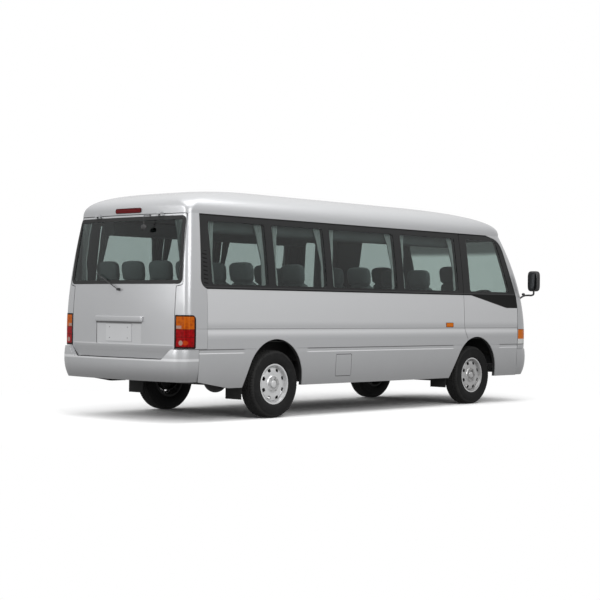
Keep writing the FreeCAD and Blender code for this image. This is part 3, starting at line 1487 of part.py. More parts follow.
def build_fuel_tank():
    """Tank outboard of the right rail, hung under the floor bearers, with the filler pipe."""
    tank = box(tank_rear_x, tank_front_x, -half_width + wall * 4, -rail_y - rail_half_width - overrun, rail_foot_z - wall * 3, rail_head_z)
    tank = tank.makeFillet(overrun, [e for e in tank.Edges if abs(e.tangentAt(e.FirstParameter).x) > 0.9])
    x = (flap_rear_x + flap_front_x) / 2
    z = (flap_foot_z + flap_head_z) / 2
    pipe = rod(vec(x, -half_width + wall * 5, z), vec(x, -half_width, z), overrun * 0.8)
    return join([tank, pipe.common(body_block(wall + seat_gap, overrun))])


def build_exhaust():
    """Silencer under the left side with its pipe to the tail."""
    y = rail_y + rail_half_width + overrun * 3
    z = rail_foot_z - overrun
    x0 = silencer_rear_x
    x1 = x0 + silencer_length
    can = rod(vec(x0, y, z), vec(x1, y, z), overrun * 2.2)
    front = rod(vec(x1 - overrun, y, z), vec(x1 + pipe_length, y, z), overrun * 0.7)
    hanger = box((x0 + x1 - overrun) / 2, (x0 + x1 + overrun) / 2, y - leg_half, y + leg_half, z, floor_foot_z)
    return join([can, front, hanger])


def leaf_frame(z):
    """Outer face of the leaning entrance leaves at a height."""
    share = (z - entrance_foot_z) / (entrance_head_z - entrance_foot_z)
    return leaf_foot_y + (leaf_head_y - leaf_foot_y) * share


def leaf_pin(z0, z1, radius):
    """Pivot pin of the front leaf, between two heights on its leaning axis."""
    x = entrance_front_x - leaf_pin_set_back
    deep = leaf_thickness - leaf_pin_deep
    return rod(vec(x, leaf_frame(z0) - deep, z0), vec(x, leaf_frame(z1) - deep, z1), radius)


def fold_rod(z0, z1, radius):
    """Rod on the fold line of the two leaves, on their outer face."""
    x = (entrance_rear_x + entrance_front_x) / 2
    return rod(vec(x, leaf_frame(z0), z0), vec(x, leaf_frame(z1), z1), radius)


fold_barrel_count = 3


def lean_block(x0, x1, deep0, deep1, z0, z1):
    """Block between two depths behind the leaning door plane."""
    corners = [(leaf_frame(z0) - deep0, z0, 0), (leaf_frame(z1) - deep0, z1, 0), (leaf_frame(z1) - deep1, z1, 0),
               (leaf_frame(z0) - deep1, z0, 0)]
    return end_prism(corners, x0, x1)


def build_leaf(x0, x1, is_front):
    panel = lean_block(x0, x1, 0, leaf_thickness, entrance_foot_z, entrance_head_z)
    if is_front:
        for z0, z1 in ((entrance_foot_z - overrun, entrance_foot_z + leaf_pin_set_back + seam_gap),
                       (entrance_head_z - leaf_pin_set_back - seam_gap, entrance_head_z + overrun)):
            panel = panel.cut(leaf_pin(z0, z1, leaf_pin_radius + bearing_gap))
    spread = (entrance_head_z - entrance_foot_z) / fold_barrel_count
    for i in range(fold_barrel_count):
        z0 = entrance_foot_z + spread * (i + 0.5)
        own, other = (z0, z0 + fold_barrel_length), (z0 + fold_barrel_length, z0 + fold_barrel_length * 2)
        if not is_front:
            own, other = other, own
        panel = panel.cut(fold_rod(other[0] - relief, other[1] + relief, fold_barrel_radius + relief))
        panel = panel.fuse(fold_rod(own[0] + relief / 2, own[1] - relief / 2, fold_barrel_radius))
        if is_front:
            panel = panel.fuse(fold_rod(own[0] + relief, other[1] - relief, fold_barrel_radius / 2))
        else:
            panel = panel.cut(fold_rod(other[0] - relief, own[1] + relief, fold_barrel_radius / 2 + bearing_gap))
    m = leaf_window_margin
    foot = entrance_foot_z + leaf_window_foot
    head = entrance_head_z - m
    corners = rectangle(x0 + m, x1 - m, foot, head, window_round)
    hole = side_prism(corners, 0, wide)
    pane_hole = side_prism(grown(corners, -seat_gap), 0, wide)
    deep = (leaf_thickness - leaf_glass_thickness) / 2
    pane = lean_block(x0, x1, deep, deep + leaf_glass_thickness, entrance_foot_z, entrance_head_z).common(pane_hole)
    return panel.cut(hole), pane


os.makedirs("parts", exist_ok=True)

save("side_right", build_side_right())
save("side_left", build_side_left())
save("window_frames", build_window_frames())
save("side_glass", build_side_glass())
door_skin, door_frame, door_pane = build_driver_door()
save("driver_door", door_skin)
save("driver_door_frame", door_frame)
save("driver_door_glass", door_pane)
save("front_panel", build_front_panel())
save("windscreen", glass_layer.common(front_prism(grown(screen_corners(), -seat_gap))))
save("head_lamps", build_head_lamps())
save("indicator_lamps", build_indicators())
save("grille", build_grille())
save("rear_surround", build_rear_surround())
save("tail_lamps", build_tail_lamps())
gate_skin, gate_pane, gate_rubber = build_tailgate()
save("tailgate", gate_skin)
save("tailgate_glass", gate_pane)
save("tailgate_seal", gate_rubber)
save("tailgate_mirror", build_view_mirror())
save("tailgate_curtains", build_gate_curtains())
save("roof", build_roof())
save("brake_lamp", build_brake_lamp())
save("tail_bumper", build_tail_bumper())
save("nose_bumper", build_nose_bumper())
entrance_mid_x = (entrance_rear_x + entrance_front_x) / 2
front_leaf, front_leaf_pane = build_leaf(entrance_mid_x + seam_gap, entrance_front_x, True)
rear_leaf, rear_leaf_pane = build_leaf(entrance_rear_x, entrance_mid_x - seam_gap, False)
save("entrance_leaf_front", front_leaf)
save("entrance_glass_front", front_leaf_pane)
save("entrance_leaf_rear", rear_leaf)
save("entrance_glass_rear", rear_leaf_pane)
save("fuel_lid", build_fuel_lid())
tyre = build_tyre()
for end, axle_x, wheel_y_mid in (("front", front_axle_x, front_wheel_y), ("rear", rear_axle_x, rear_wheel_y)):
    for side_name, side in (("left", 1), ("right", -1)):
        save("tyre_" + end + "_" + side_name, tyre.translated(vec(axle_x, side * wheel_y_mid, axle_z)))
        save("wheel_" + end + "_" + side_name, build_wheel(axle_x, side * wheel_y_mid, side))
save("knuckle_left", build_knuckle(1))
save("knuckle_right", build_knuckle(-1))
save("tie_rod", build_tie_rod())
save("front_axle", build_front_axle())
save("rear_axle", build_rear_axle())
save("leaf_springs", build_springs())
save("chassis_frame", build_frame())
save("floor", build_floor())
save("engine_block", build_engine())
save("seats", build_seats())
save("seat_frames", build_seat_frames())
save("curtains", build_curtains())
save("dashboard", build_dashboard())
save("mud_flaps", build_mud_flaps())
save("mirrors", build_mirrors())
save("rear_wiper", build_rear_wiper())
save("front_wipers", build_front_wipers())
save("fuel_tank", build_fuel_tank())
save("exhaust", build_exhaust())
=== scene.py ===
import json
import math

import bmesh
import bpy
import numpy as np
from mathutils import Matrix, Vector

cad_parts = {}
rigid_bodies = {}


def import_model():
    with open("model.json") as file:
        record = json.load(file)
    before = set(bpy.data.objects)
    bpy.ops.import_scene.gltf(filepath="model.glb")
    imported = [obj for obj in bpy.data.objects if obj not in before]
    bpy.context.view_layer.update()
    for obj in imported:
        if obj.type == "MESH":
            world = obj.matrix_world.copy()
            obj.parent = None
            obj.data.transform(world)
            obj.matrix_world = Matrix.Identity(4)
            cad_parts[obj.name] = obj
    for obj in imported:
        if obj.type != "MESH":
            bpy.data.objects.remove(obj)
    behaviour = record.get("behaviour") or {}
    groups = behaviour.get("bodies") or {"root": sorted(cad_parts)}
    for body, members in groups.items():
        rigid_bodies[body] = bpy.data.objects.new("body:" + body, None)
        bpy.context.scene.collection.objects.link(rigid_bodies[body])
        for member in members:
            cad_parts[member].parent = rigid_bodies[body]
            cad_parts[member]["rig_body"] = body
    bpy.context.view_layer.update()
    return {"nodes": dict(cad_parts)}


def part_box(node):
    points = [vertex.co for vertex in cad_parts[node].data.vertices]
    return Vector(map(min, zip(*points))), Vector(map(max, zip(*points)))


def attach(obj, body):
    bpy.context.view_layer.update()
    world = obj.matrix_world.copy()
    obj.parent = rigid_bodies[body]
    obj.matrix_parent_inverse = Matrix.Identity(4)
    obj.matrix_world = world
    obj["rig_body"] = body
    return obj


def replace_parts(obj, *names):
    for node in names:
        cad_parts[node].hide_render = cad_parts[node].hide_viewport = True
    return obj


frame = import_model()
nodes = frame["nodes"]
print("frame loaded,", len(nodes), "nodes")

# The body's outer form in metres, the same sizes as the model: X forward, Y left, Z up
form = {
    "halfLength": 3.495, "halfWidth": 1.035, "sill": 0.368, "crease": 1.022, "header": 2.284,
    "tumble": 0.129, "tumblePower": 1.7, "tuck": 0.03, "tuckPower": 2.0,
    "tailBack": 0.07, "tailRake": 0.135, "tailRise": 1.1, "tailPower": 1.6, "tailBow": 6.0,
    "frontAxle": 2.04, "rearAxle": -1.895, "axleHeight": 0.388,
    "frontWheel": 0.84, "rearWheel": 0.88, "frontArch": 2.002, "rearArch": -1.933,
}


# Shader kit: a wire is a socket that can be used in sums, and a paint adds any node to its own tree.
def summed(operation, swapped=False):
    def act(self, other):
        pair = (other, self) if swapped else (self, other)
        return self.paint.math(operation, *pair)
    return act


class Wire:
    __add__ = __radd__ = summed("ADD")
    __sub__ = summed("SUBTRACT")
    __rsub__ = summed("SUBTRACT", True)
    __mul__ = summed("MULTIPLY")
    __truediv__ = summed("DIVIDE")
    __pow__ = summed("POWER")

    def __init__(self, paint, socket):
        self.paint = paint
        self.socket = socket

    def __neg__(self):
        return self * -1.0

    def __abs__(self):
        return self.paint.math("ABSOLUTE", self)


class Paint:
    def __init__(self, name, world=False):
        self.owner = (bpy.data.worlds if world else bpy.data.materials).new(name)
        self.owner.use_nodes = True
        self.tree = self.owner.node_tree
        self.tree.nodes.clear()
        self.place = self.add("TexCoord", out="Generated" if world else "Object")
        self.x, self.y, self.z = self.split(self.place)

    def add(self, kind, settings=None, sockets=None, out=0):
        node = self.tree.nodes.new("ShaderNode" + kind)
        for key, value in (settings or {}).items():
            setattr(node, key, value)
        for key, value in (sockets or {}).items():
            if isinstance(value, Wire):
                self.tree.links.new(value.socket, node.inputs[key])
            else:
                node.inputs[key].default_value = value
        return Wire(self, node.outputs[out])

    def split(self, vector):
        parts = self.add("SeparateXYZ", {}, {0: vector})
        return [Wire(self, parts.socket.node.outputs[k]) for k in range(3)]

    def facing(self):  # the face's direction along the piece's own axes
        return self.split(self.add("TexCoord", out="Normal"))

    def rays(self):  # 1 where a ray comes from the camera, off a gloss or through a glass
        path = self.add("LightPath").socket.node
        return [Wire(self, path.outputs["Is %s Ray" % kind]) for kind in ("Camera", "Glossy", "Transmission")]

    def math(self, operation, *values):
        return self.add("Math", {"operation": operation}, dict(enumerate(values)))

    def noise(self, scale, detail=3.0):
        return self.add("TexNoise", {}, {"Vector": self.place, "Scale": scale, "Detail": detail})

    def cells(self, scale, chance=1.0):
        return self.add("TexVoronoi", {}, {"Vector": self.place, "Scale": scale, "Randomness": chance})

    def step(self, value, low, high, foot=0.0, head=1.0):  # foot below low, head above high, smooth between
        sockets = {0: value, 1: low, 2: high, 3: foot, 4: head}
        return self.add("MapRange", {"interpolation_type": "SMOOTHSTEP"}, sockets)

    def below(self, value, low, high):
        return 1.0 - self.step(value, low, high)

    def within(self, value, low, high, soft=0.001):  # 1 between low and high, 0 outside
        return self.step(value, low - soft, low + soft) * self.below(value, high - soft, high + soft)

    def bands(self, value, rows):  # the sum of rows of (low, high, soft, strength)
        return sum(self.within(value, low, high, soft) * strength for low, high, soft, strength in rows)

    def reach(self, one, other):  # the distance from two lengths at right angles
        return self.math("SQRT", one * one + other * other)

    def spot(self, across, up, atAcross, atUp, radius, soft=0.002):  # a round patch
        return self.below(self.reach(across - atAcross, up - atUp), radius - soft, radius + soft)

    def larger(self, one, other):
        return self.math("MAXIMUM", one, other)

    def blend(self, share, one, other):  # colours
        return self.add("Mix", {"data_type": "RGBA"}, {0: share, 6: one, 7: other}, out=2)

    def finish(self, colour, rough, metal=0.0, height=None, deep=0.001, **more):
        sockets = {"Base Color": colour, "Roughness": rough, "Metallic": metal}
        if height is not None:
            sockets["Normal"] = self.add("Bump", {}, {"Height": height, "Distance": deep, "Strength": 1.0})
        for key, value in more.items():
            sockets[key.replace("_", " ")] = value
        return self.output(self.add("BsdfPrincipled", {}, sockets))

    def output(self, shader, kind="OutputMaterial"):
        end = self.tree.nodes.new("ShaderNode" + kind)
        self.tree.links.new(shader.socket, end.inputs[0])
        return self.owner


def rgb(red, green, blue):
    return (red, green, blue, 1.0)


# Marks on the sides: a painted highlight on the swage's lower edge and painted shade on its upper edge,
# painted highlights on the panel below the crease and under the window band, and painted shade in the crease.
# The inside lies deeper than the outer form's half width.
def sideMarks(paint):
    look = {"bands": [(0.96, 1.018, 0.03, 0.5), (1.075, 1.47, 0.045, 0.42), (1.02, 1.027, 0.003, -0.7)],
            "swageBands": [(0.75, 0.759, 0.004, 0.8), (0.79, 0.801, 0.004, -0.8)],
            "ledge": (0.905, 1.02), "ledgeHigh": 0.012, "rib": (0.757, 0.797, 0.006, -0.004),
            "archHalf": (0.5, 0.56), "wall": (0.01, 0.012)}
    up = paint.larger((paint.z - form["crease"]) / (form["header"] - form["crease"]), 0.0)
    down = paint.larger((form["crease"] - paint.z) / (form["crease"] - form["sill"]), 0.0)
    lean, tuck = up ** form["tumblePower"] * form["tumble"], down ** form["tuckPower"] * form["tuck"]
    half = form["halfWidth"] - lean - tuck
    inside = paint.step(half - abs(paint.y), *look["wall"])
    arch = paint.math("MINIMUM", abs(paint.x - form["frontArch"]), abs(paint.x - form["rearArch"]))
    swage = paint.step(arch, *look["archHalf"])
    ledge = paint.below(paint.z, *look["ledge"]) * look["ledgeHigh"]
    shape = ledge + paint.bands(paint.z, [look["rib"]]) * swage
    # The shine: painted highlights and painted shade along the crease, the panels and the swage.
    shine = paint.bands(paint.z, look["bands"]) + paint.bands(paint.z, look["swageBands"]) * swage
    return shape, shine, inside


# Marks on the bumpers: a painted highlight on the tail's ledge, and painted shade darkening its foot.
def bumperMarks(paint):
    look = {"ledge": (0.672, 0.7, 0.006, 0.7), "foot": (0.46, 0.66), "footDark": 0.46, "tail": (0.0, 0.1)}
    # Painted highlight on the ledge, painted shade towards the foot.
    shine = paint.bands(paint.z, [look["ledge"]]) - paint.below(paint.z, *look["foot"]) * look["footDark"]
    return 0.0, shine * paint.below(paint.x, *look["tail"]), 0.0


# Marks on roof and ends. A face looks inwards where its direction points at the middle line of the cabin, or
# down above the roof's edge. On the tailgate the fold is a ramp of the height, with a painted highlight along it
# and painted shade below it, and patches of (foot, head, soft, inner, outer) mark the plate's hollow, paler with
# a painted highlight on its side walls, its paler seat and the seat's dark edge, the garnish's rim, with a
# painted highlight on its upward faces and painted shade on its downward ones, and painted shade under the
# garnish.
def endMarks(paint):
    look = {"middle": (-2.8, 2.6), "roofEdge": (2.27, 2.275), "tail": (-3.0, -2.99), "tailHalf": (0.8, 0.86),
            "fold": 0.845, "foldSlope": -0.16, "foldLight": (0.838, 0.85, 0.005, 0.6), "foldFoot": 0.8,
            "foldDark": 0.25, "shade": (1.07, 1.093, 0.006, 0.375, 0.395),
            "hollow": (0.853, 1.066, 0.01, 0.365, 0.385), "seat": (0.872, 1.064, 0.002, 0.213, 0.216),
            "edge": (0.867, 1.069, 0.002, 0.218, 0.221), "rim": (0.838, 1.165, 0.004, 0.405, 0.41),
            "holeAt": (0.15, 0.06), "holeMiddle": 0.968, "hole": 0.0065}
    faceX, faceY, faceZ = paint.facing()
    half = abs(paint.y)

    def patch(name):
        foot, head, soft, inner, outer = look[name]
        return paint.within(paint.z, foot, head, soft) * paint.below(half, inner, outer)

    middle = paint.math("MINIMUM", paint.larger(paint.x, look["middle"][0]), look["middle"][1])
    away = faceX * (paint.x - middle) + faceY * paint.y
    roof = paint.step(paint.z, *look["roofEdge"])
    inside = paint.larger(paint.step(-away, 0.01, 0.02) * (1.0 - roof), paint.step(-faceZ, 0.05, 0.1) * roof)
    tail = paint.below(paint.x, *look["tail"]) * paint.below(half, *look["tailHalf"])
    shape = paint.larger(look["fold"] - paint.z, 0.0) * tail * look["foldSlope"]
    seat, hollow = patch("seat"), patch("hollow")
    hole = paint.spot(half, abs(paint.z - look["holeMiddle"]), *look["holeAt"], look["hole"])
    rim = paint.below(-faceX, 0.55, 0.75) * patch("rim")
    # Painted highlight along the fold; the plate's seat is paler, and its edge and holes are dark.
    shine = paint.bands(paint.z, [look["foldLight"]]) + seat * 0.16 - (patch("edge") - seat) * 0.35 - hole * 1.2
    # The hollow is paler, with a painted highlight on its side walls; painted shade under the garnish.
    shine = shine + hollow * (paint.step(abs(faceY), 0.5, 0.7) * 0.6 + 0.3) - patch("shade") * 0.9
    # Painted highlight on the garnish rim's upward faces, painted shade on its downward faces.
    shine = shine + rim * (paint.within(faceZ, 0.4, 1.1, 0.1) * 0.5 - paint.step(-faceZ, 0.3, 0.5) * 0.6)
    # Painted shade below the fold.
    shine = shine - paint.below(paint.z, look["foldFoot"], look["fold"]) * look["foldDark"]
    return shape, shine * tail, inside


# Silver paint: flakes are fine noise on the colour, and the bump is the faint waviness of sprayed lacquer;
# painted shade darkens the colour towards the bottom, a smooth step of height plus slow noise, and roughens it.
# The marks give a shape, a shine that is pale above 0 and dark below it, mostly painted highlight and painted
# shade, and the inside, which is lining above the floor and black below it.
def silverPaint(name, marks):
    look = {"silver": rgb(0.4, 0.405, 0.415), "flake": rgb(0.5, 0.505, 0.515), "paintedLowShade": rgb(0.155, 0.155, 0.155),
            "pale": rgb(0.7, 0.705, 0.715), "dark": rgb(0.1, 0.1, 0.1), "lining": rgb(0.055, 0.06, 0.06),
            "black": rgb(0.01, 0.01, 0.01), "paintedLowShadeSpan": (0.2, 0.9), "paintedLowShadeMost": 0.62, "floor": (0.95, 0.96)}
    paint = Paint(name)
    flake = paint.step(paint.noise(1400.0, 1.0), 0.45, 0.75)
    patch = paint.noise(3.0, 4.0)
    # Painted shade: darker and rougher towards the bottom.
    paintedLowShade = paint.below(paint.z + patch * 0.06, *look["paintedLowShadeSpan"]) * look["paintedLowShadeMost"]
    colour = paint.blend(paintedLowShade, paint.blend(flake * 0.6, look["silver"], look["flake"]), look["paintedLowShade"])
    shape, shine, inside = marks(paint)
    # The shine: painted highlight where it is above 0, painted shade where it is below.
    colour = paint.blend(paint.larger(shine, 0.0), colour, look["pale"])
    colour = paint.blend(paint.larger(-shine, 0.0), colour, look["dark"])
    back = paint.blend(paint.below(paint.z, *look["floor"]), look["lining"], look["black"])
    rough = 0.34 + paintedLowShade * 0.35 + patch * 0.05 + inside * 0.4
    return paint.finish(paint.blend(inside, colour, back), rough, (1.0 - inside) * 0.5,
                        paint.noise(38.0, 2.0) * 0.00012 + shape, 1.0,
                        Coat_Weight=(1.0 - inside) * 0.6, Coat_Roughness=0.08)


# Satin black window band: a darker seal runs along its top and bottom edges with a thin lip beside it, paler
# as a painted highlight, and a comb of slots, a sine of the height, stands at its rear end.
def bandBlack():
    look = {"band": rgb(0.01, 0.0103, 0.0106), "pale": rgb(0.015, 0.0155, 0.016), "lip": rgb(0.05, 0.05, 0.052),
            "seal": rgb(0.0012, 0.0012, 0.0013), "between": (1.475, 2.267), "lipSpan": (1.478, 1.484),
            "slotAlong": (-3.078, -3.012, 0.004), "slotUp": (1.5, 1.88, 0.004), "pitch": 140.0, "slant": 20.0}
    paint = Paint("bandBlack")
    grain = paint.noise(700.0, 2.0)
    seal = 1.0 - paint.within(paint.z, *look["between"])
    # Painted highlight: the lip is paler.
    lip = paint.within(paint.z, *look["lipSpan"])
    comb = paint.step(paint.math("SINE", paint.z * look["pitch"] + paint.x * look["slant"]), 0.1, 0.5)
    slots = comb * paint.within(paint.x, *look["slotAlong"]) * paint.within(paint.z, *look["slotUp"])
    dark = paint.larger(seal, slots)
    colour = paint.blend(lip, paint.blend(paint.noise(4.0), look["band"], look["pale"]), look["lip"])
    return paint.finish(paint.blend(dark, colour, look["seal"]), 0.36 + grain * 0.1 + dark * 0.3, 0.0,
                        grain * 0.04 - slots, 0.0015, Specular_IOR_Level=0.22)


# Moulded plastic: cells of a Voronoi pattern make the leather-like grain, and worn patches are lighter.
def mouldedPlastic(name, colour, rough=0.55, cell=420.0):
    paint = Paint(name)
    worn = paint.step(paint.noise(9.0, 4.0), 0.35, 0.75)
    lighter = rgb(*(c * 1.35 + 0.004 for c in colour[:3]))
    colour = paint.blend(worn * 0.5, colour, lighter)
    return paint.finish(colour, rough + worn * 0.08, 0.0, paint.cells(cell), 0.00018)


# Tinted glass: clear light passes tinted at each face, and Fresnel adds the reflection on outward faces alone.
# The shade is a darker strip between two heights.
def tintedGlass(name, tint, shade=None):
    look = {"gloss": 0.9, "shade": 0.42, "mirrored": rgb(0.92, 0.95, 0.95), "index": 1.5}
    paint = Paint(name)
    back = paint.add("NewGeometry", out="Backfacing")
    clear = paint.add("BsdfTransparent", {}, {0: rgb(*tint)})
    if shade:
        dark = paint.add("BsdfTransparent", {}, {0: rgb(*(c * look["shade"] for c in tint))})
        clear = paint.add("MixShader", {}, {0: paint.step(paint.z, *shade), 1: clear, 2: dark})
    wave = paint.add("Bump", {}, {"Height": paint.noise(2.2, 1.0), "Distance": 0.004, "Strength": 1.0})
    shine = paint.add("BsdfGlossy", {}, {0: look["mirrored"], 1: 0.03, "Normal": wave})
    edge = paint.add("Fresnel", {}, {"IOR": look["index"]})
    return paint.output(paint.add("MixShader", {}, {0: edge * (1.0 - back) * look["gloss"], 1: clear, 2: shine}))


# Rubber: soft noise on colour and roughness.
def rubber(name, colour):
    paint = Paint(name)
    patch = paint.noise(22.0, 4.0)
    return paint.finish(paint.blend(patch, colour, rgb(0.018, 0.018, 0.018)), 0.6 + patch * 0.15, 0.0,
                        paint.noise(900.0, 2.0), 0.00006, Specular_IOR_Level=0.3)


# The lengths along and up from the nearer axle, and the distance from it.
def fromAxle(paint):
    middle = (form["frontAxle"] + form["rearAxle"]) / 2
    along = abs(paint.x - middle) - (form["frontAxle"] - middle)
    up = paint.z - form["axleHeight"]
    return along, up, paint.reach(along, up)


# Tyre: dust lies in the rings of the sidewall, by the distance from the axle.
def tyreRubber():
    paint = Paint("tyreRubber")
    radius = fromAxle(paint)[2]
    ring = paint.math("SINE", radius * 900.0)
    dust = paint.step(paint.noise(14.0, 5.0) + paint.step(radius, 0.345, 0.366) * 0.45, 0.5, 0.95)
    colour = paint.blend(dust * 0.8, rgb(0.0062, 0.0062, 0.0064), rgb(0.026, 0.026, 0.0255))
    return paint.finish(colour, 0.78 + dust * 0.12, 0.0, paint.noise(420.0, 3.0) + ring * 0.1, 0.00016,
                        Specular_IOR_Level=0.22)


# Wheel paint: silver with noise for brake dust, darker round the hub, with painted shade in the well by the rim,
# black painted shade on the inner faces and on patches round the holes, which a cosine of the angle gives, a
# painted highlight on the rim's lip, and painted shade that makes the front wheels darker than the rear.
def wheelSilver():
    look = {"vents": 8.0, "ventSpan": (0.148, 0.184, 0.002), "hub": (0.05, 0.09, 0.003),
            "lipFrom": (0.222, 0.228), "wellShade": (0.192, 0.214, 0.006), "wall": (0.024, 0.032),
            "between": (-0.1, 0.1),
            "rear": rgb(0.62, 0.625, 0.63), "front": rgb(0.44, 0.44, 0.44), "dust": rgb(0.16, 0.155, 0.15),
            "lip": rgb(0.82, 0.825, 0.83), "black": rgb(0.006, 0.006, 0.006)}
    paint = Paint("wheelSilver")
    along, up, radius = fromAxle(paint)
    front = paint.step(paint.x, *look["between"])  # painted shade: the front wheels are darker than the rear
    centre = form["rearWheel"] + front * (form["frontWheel"] - form["rearWheel"])
    # Painted shade: the wheel's inner faces are black.
    inside = paint.below(abs(paint.y) - centre, *look["wall"])
    # Darker round the hub, and painted shade in the well between the disc and the rim; noise adds brake dust.
    hubAndWellDark = paint.within(radius, *look["hub"]) * 0.38 + paint.within(radius, *look["wellShade"]) * 0.3
    dust = paint.step(paint.noise(30.0, 5.0) * 0.6 + hubAndWellDark, 0.45, 1.0)
    turn = paint.math("ARCTAN2", up, along) * look["vents"]
    # Painted shade: black patches round the holes, wider than the holes.
    vent = paint.step(-paint.math("COSINE", turn), 0.5, 0.72) * paint.within(radius, *look["ventSpan"])
    colour = paint.blend(dust, paint.blend(front, look["rear"], look["front"]), look["dust"])
    # Painted highlight on the rim's lip.
    colour = paint.blend(paint.step(radius, *look["lipFrom"]) * 0.8, colour, look["lip"])
    colour = paint.blend(paint.larger(inside, vent), colour, look["black"])
    rough = 0.3 + dust * 0.3 + inside * 0.4
    return paint.finish(colour, rough, (1.0 - inside) * 0.6, paint.noise(80.0, 2.0), 0.0001,
                        Coat_Weight=(1.0 - inside) * 0.3, Coat_Roughness=0.15)


# Underbody steel: black stone-chip paint with pale road dust.
def underbody():
    paint = Paint("underbodyBlack")
    dust = paint.step(paint.noise(7.0, 6.0), 0.48, 0.78) * 0.5
    colour = paint.blend(dust, rgb(0.018, 0.018, 0.019), rgb(0.085, 0.078, 0.068))
    return paint.finish(colour, 0.62 + dust * 0.3, 0.1, paint.noise(260.0, 4.0), 0.0004)


# Bare pipe steel: brown heat patches over grey.
def pipeSteel():
    paint = Paint("pipeSteel")
    rust = paint.step(paint.noise(12.0, 6.0), 0.5, 0.72)
    colour = paint.blend(rust, rgb(0.25, 0.24, 0.23), rgb(0.11, 0.06, 0.035))
    return paint.finish(colour, 0.42 + rust * 0.35, 0.8 - rust * 0.5, paint.noise(200.0, 3.0), 0.0002)


# Seat cloth: the weave is the product of two sines of place, with speckle from noise.
def seatCloth():
    look = {"thread": 2600.0, "dark": rgb(0.078, 0.088, 0.09), "light": rgb(0.14, 0.151, 0.153)}
    paint = Paint("seatCloth")
    weave = paint.math("SINE", (paint.x + paint.z) * look["thread"])
    weave = weave * paint.math("SINE", (paint.y + paint.z * 0.5) * look["thread"])
    colour = paint.blend(paint.step(paint.noise(240.0, 2.0), 0.4, 0.66), look["dark"], look["light"])
    return paint.finish(colour, 0.88, 0.0, weave * 0.5 + paint.noise(45.0, 3.0) * 2.0, 0.0005, Sheen_Weight=0.35)


# Curtain cloth: a fine weave, with a painted highlight on the crests of the folds and painted shade in their
# troughs, which the piece's own "fold" attribute gives.
def curtainCloth():
    look = {"thread": 2200.0, "trough": rgb(0.16, 0.169, 0.167), "crest": rgb(0.74, 0.75, 0.74)}
    paint = Paint("curtainCloth")
    weave = paint.math("SINE", paint.z * look["thread"]) * paint.math("SINE", paint.x * look["thread"])
    fold = paint.add("Attribute", {"attribute_name": "fold"}, out=2)
    # Painted highlight on the folds' crests, painted shade in their troughs.
    crest = paint.step(fold + paint.noise(6.0, 3.0) * 0.3, -0.7, 1.1)
    colour = paint.blend(crest, look["trough"], look["crest"])
    return paint.finish(colour, 0.85, 0.0, weave, 0.0003, Sheen_Weight=0.2)


# Floor covering: raised round studs as a Voronoi pattern on the upward faces, black below.
def floorCover():
    paint = Paint("floorCover")
    studs = paint.below(paint.cells(45.0, 0.0), 0.25, 0.4)
    patch = paint.noise(5.0, 5.0)
    top = paint.step(paint.facing()[2], 0.6, 0.8) * paint.step(paint.z, 0.4, 0.42)
    cover = paint.blend(patch, rgb(0.07, 0.073, 0.076), rgb(0.11, 0.11, 0.11))
    colour = paint.blend(top, rgb(0.01, 0.01, 0.01), cover)
    return paint.finish(colour, 0.6 + patch * 0.2, 0.0, studs * top, 0.0008)


# Ribbed lens: parallel ribs are a sine of place, and light is brighter on their crests.
def ribs(paint, pitch=420.0):
    comb = paint.math("SINE", (paint.y + paint.x) * pitch) + paint.math("SINE", paint.z * pitch)
    return comb, paint.step(comb, -1.4, 1.6)


def lensFinish(paint, colour, comb, rough=0.16):
    return paint.finish(colour, rough, 0.0, comb, 0.0004, Coat_Weight=0.06, Coat_Roughness=0.04,
                        Specular_IOR_Level=0.06)


# Tail lamp: amber over red over a red row with two round lamps, in a dark surround.
def tailLens():
    look = {"amber": rgb(0.46, 0.098, 0.002), "amberDeep": rgb(0.25, 0.038, 0.001), "red": rgb(0.3, 0.001, 0.003),
            "redDeep": rgb(0.12, 0.001, 0.001), "pale": rgb(0.3, 0.2, 0.17), "round": rgb(0.36, 0.034, 0.004),
            "edge": rgb(0.012, 0.003, 0.003), "amberFrom": (1.019, 1.023), "paleUp": (1.026, 1.058, 0.004),
            "paleAcross": (0.935, 0.965), "roundAt": (0.998, 0.874, 0.026, 0.006), "paleAt": (0.944, 0.872, 0.027),
            "lines": [(1.014, 1.019, 0.001, 0.8), (0.932, 0.936, 0.001, 0.8)],
            "frameUp": (0.83, 1.156, 0.002), "frameAcross": (0.88, 0.884), "frameAlong": (-3.242, -3.237)}
    paint = Paint("tailLens")
    across = abs(paint.y)
    comb, crest = ribs(paint)
    # Painted reflections: the lens is paler on the ribs' crests and in cells like a reflector's facets.
    glow = crest * 0.5 + paint.step(paint.cells(26.0), 0.15, 0.65) * 0.5
    red = paint.blend(glow, look["redDeep"], look["red"])
    amber = paint.blend(glow, look["amberDeep"], look["amber"])
    colour = paint.blend(paint.step(paint.z, *look["amberFrom"]), red, amber)
    pale = paint.within(paint.z, *look["paleUp"]) * paint.below(across, *look["paleAcross"])
    colour = paint.blend(pale, colour, look["pale"])
    colour = paint.blend(paint.spot(across, paint.z, *look["roundAt"]), colour, look["round"])
    colour = paint.blend(paint.spot(across, paint.z, *look["paleAt"]), colour, look["pale"])
    sides = paint.larger(paint.below(across, *look["frameAcross"]), paint.step(paint.x, *look["frameAlong"]))
    surround = paint.larger(1.0 - paint.within(paint.z, *look["frameUp"]), sides)
    dark = paint.larger(paint.bands(paint.z, look["lines"]), surround)
    return lensFinish(paint, paint.blend(dark, colour, look["edge"]), comb)


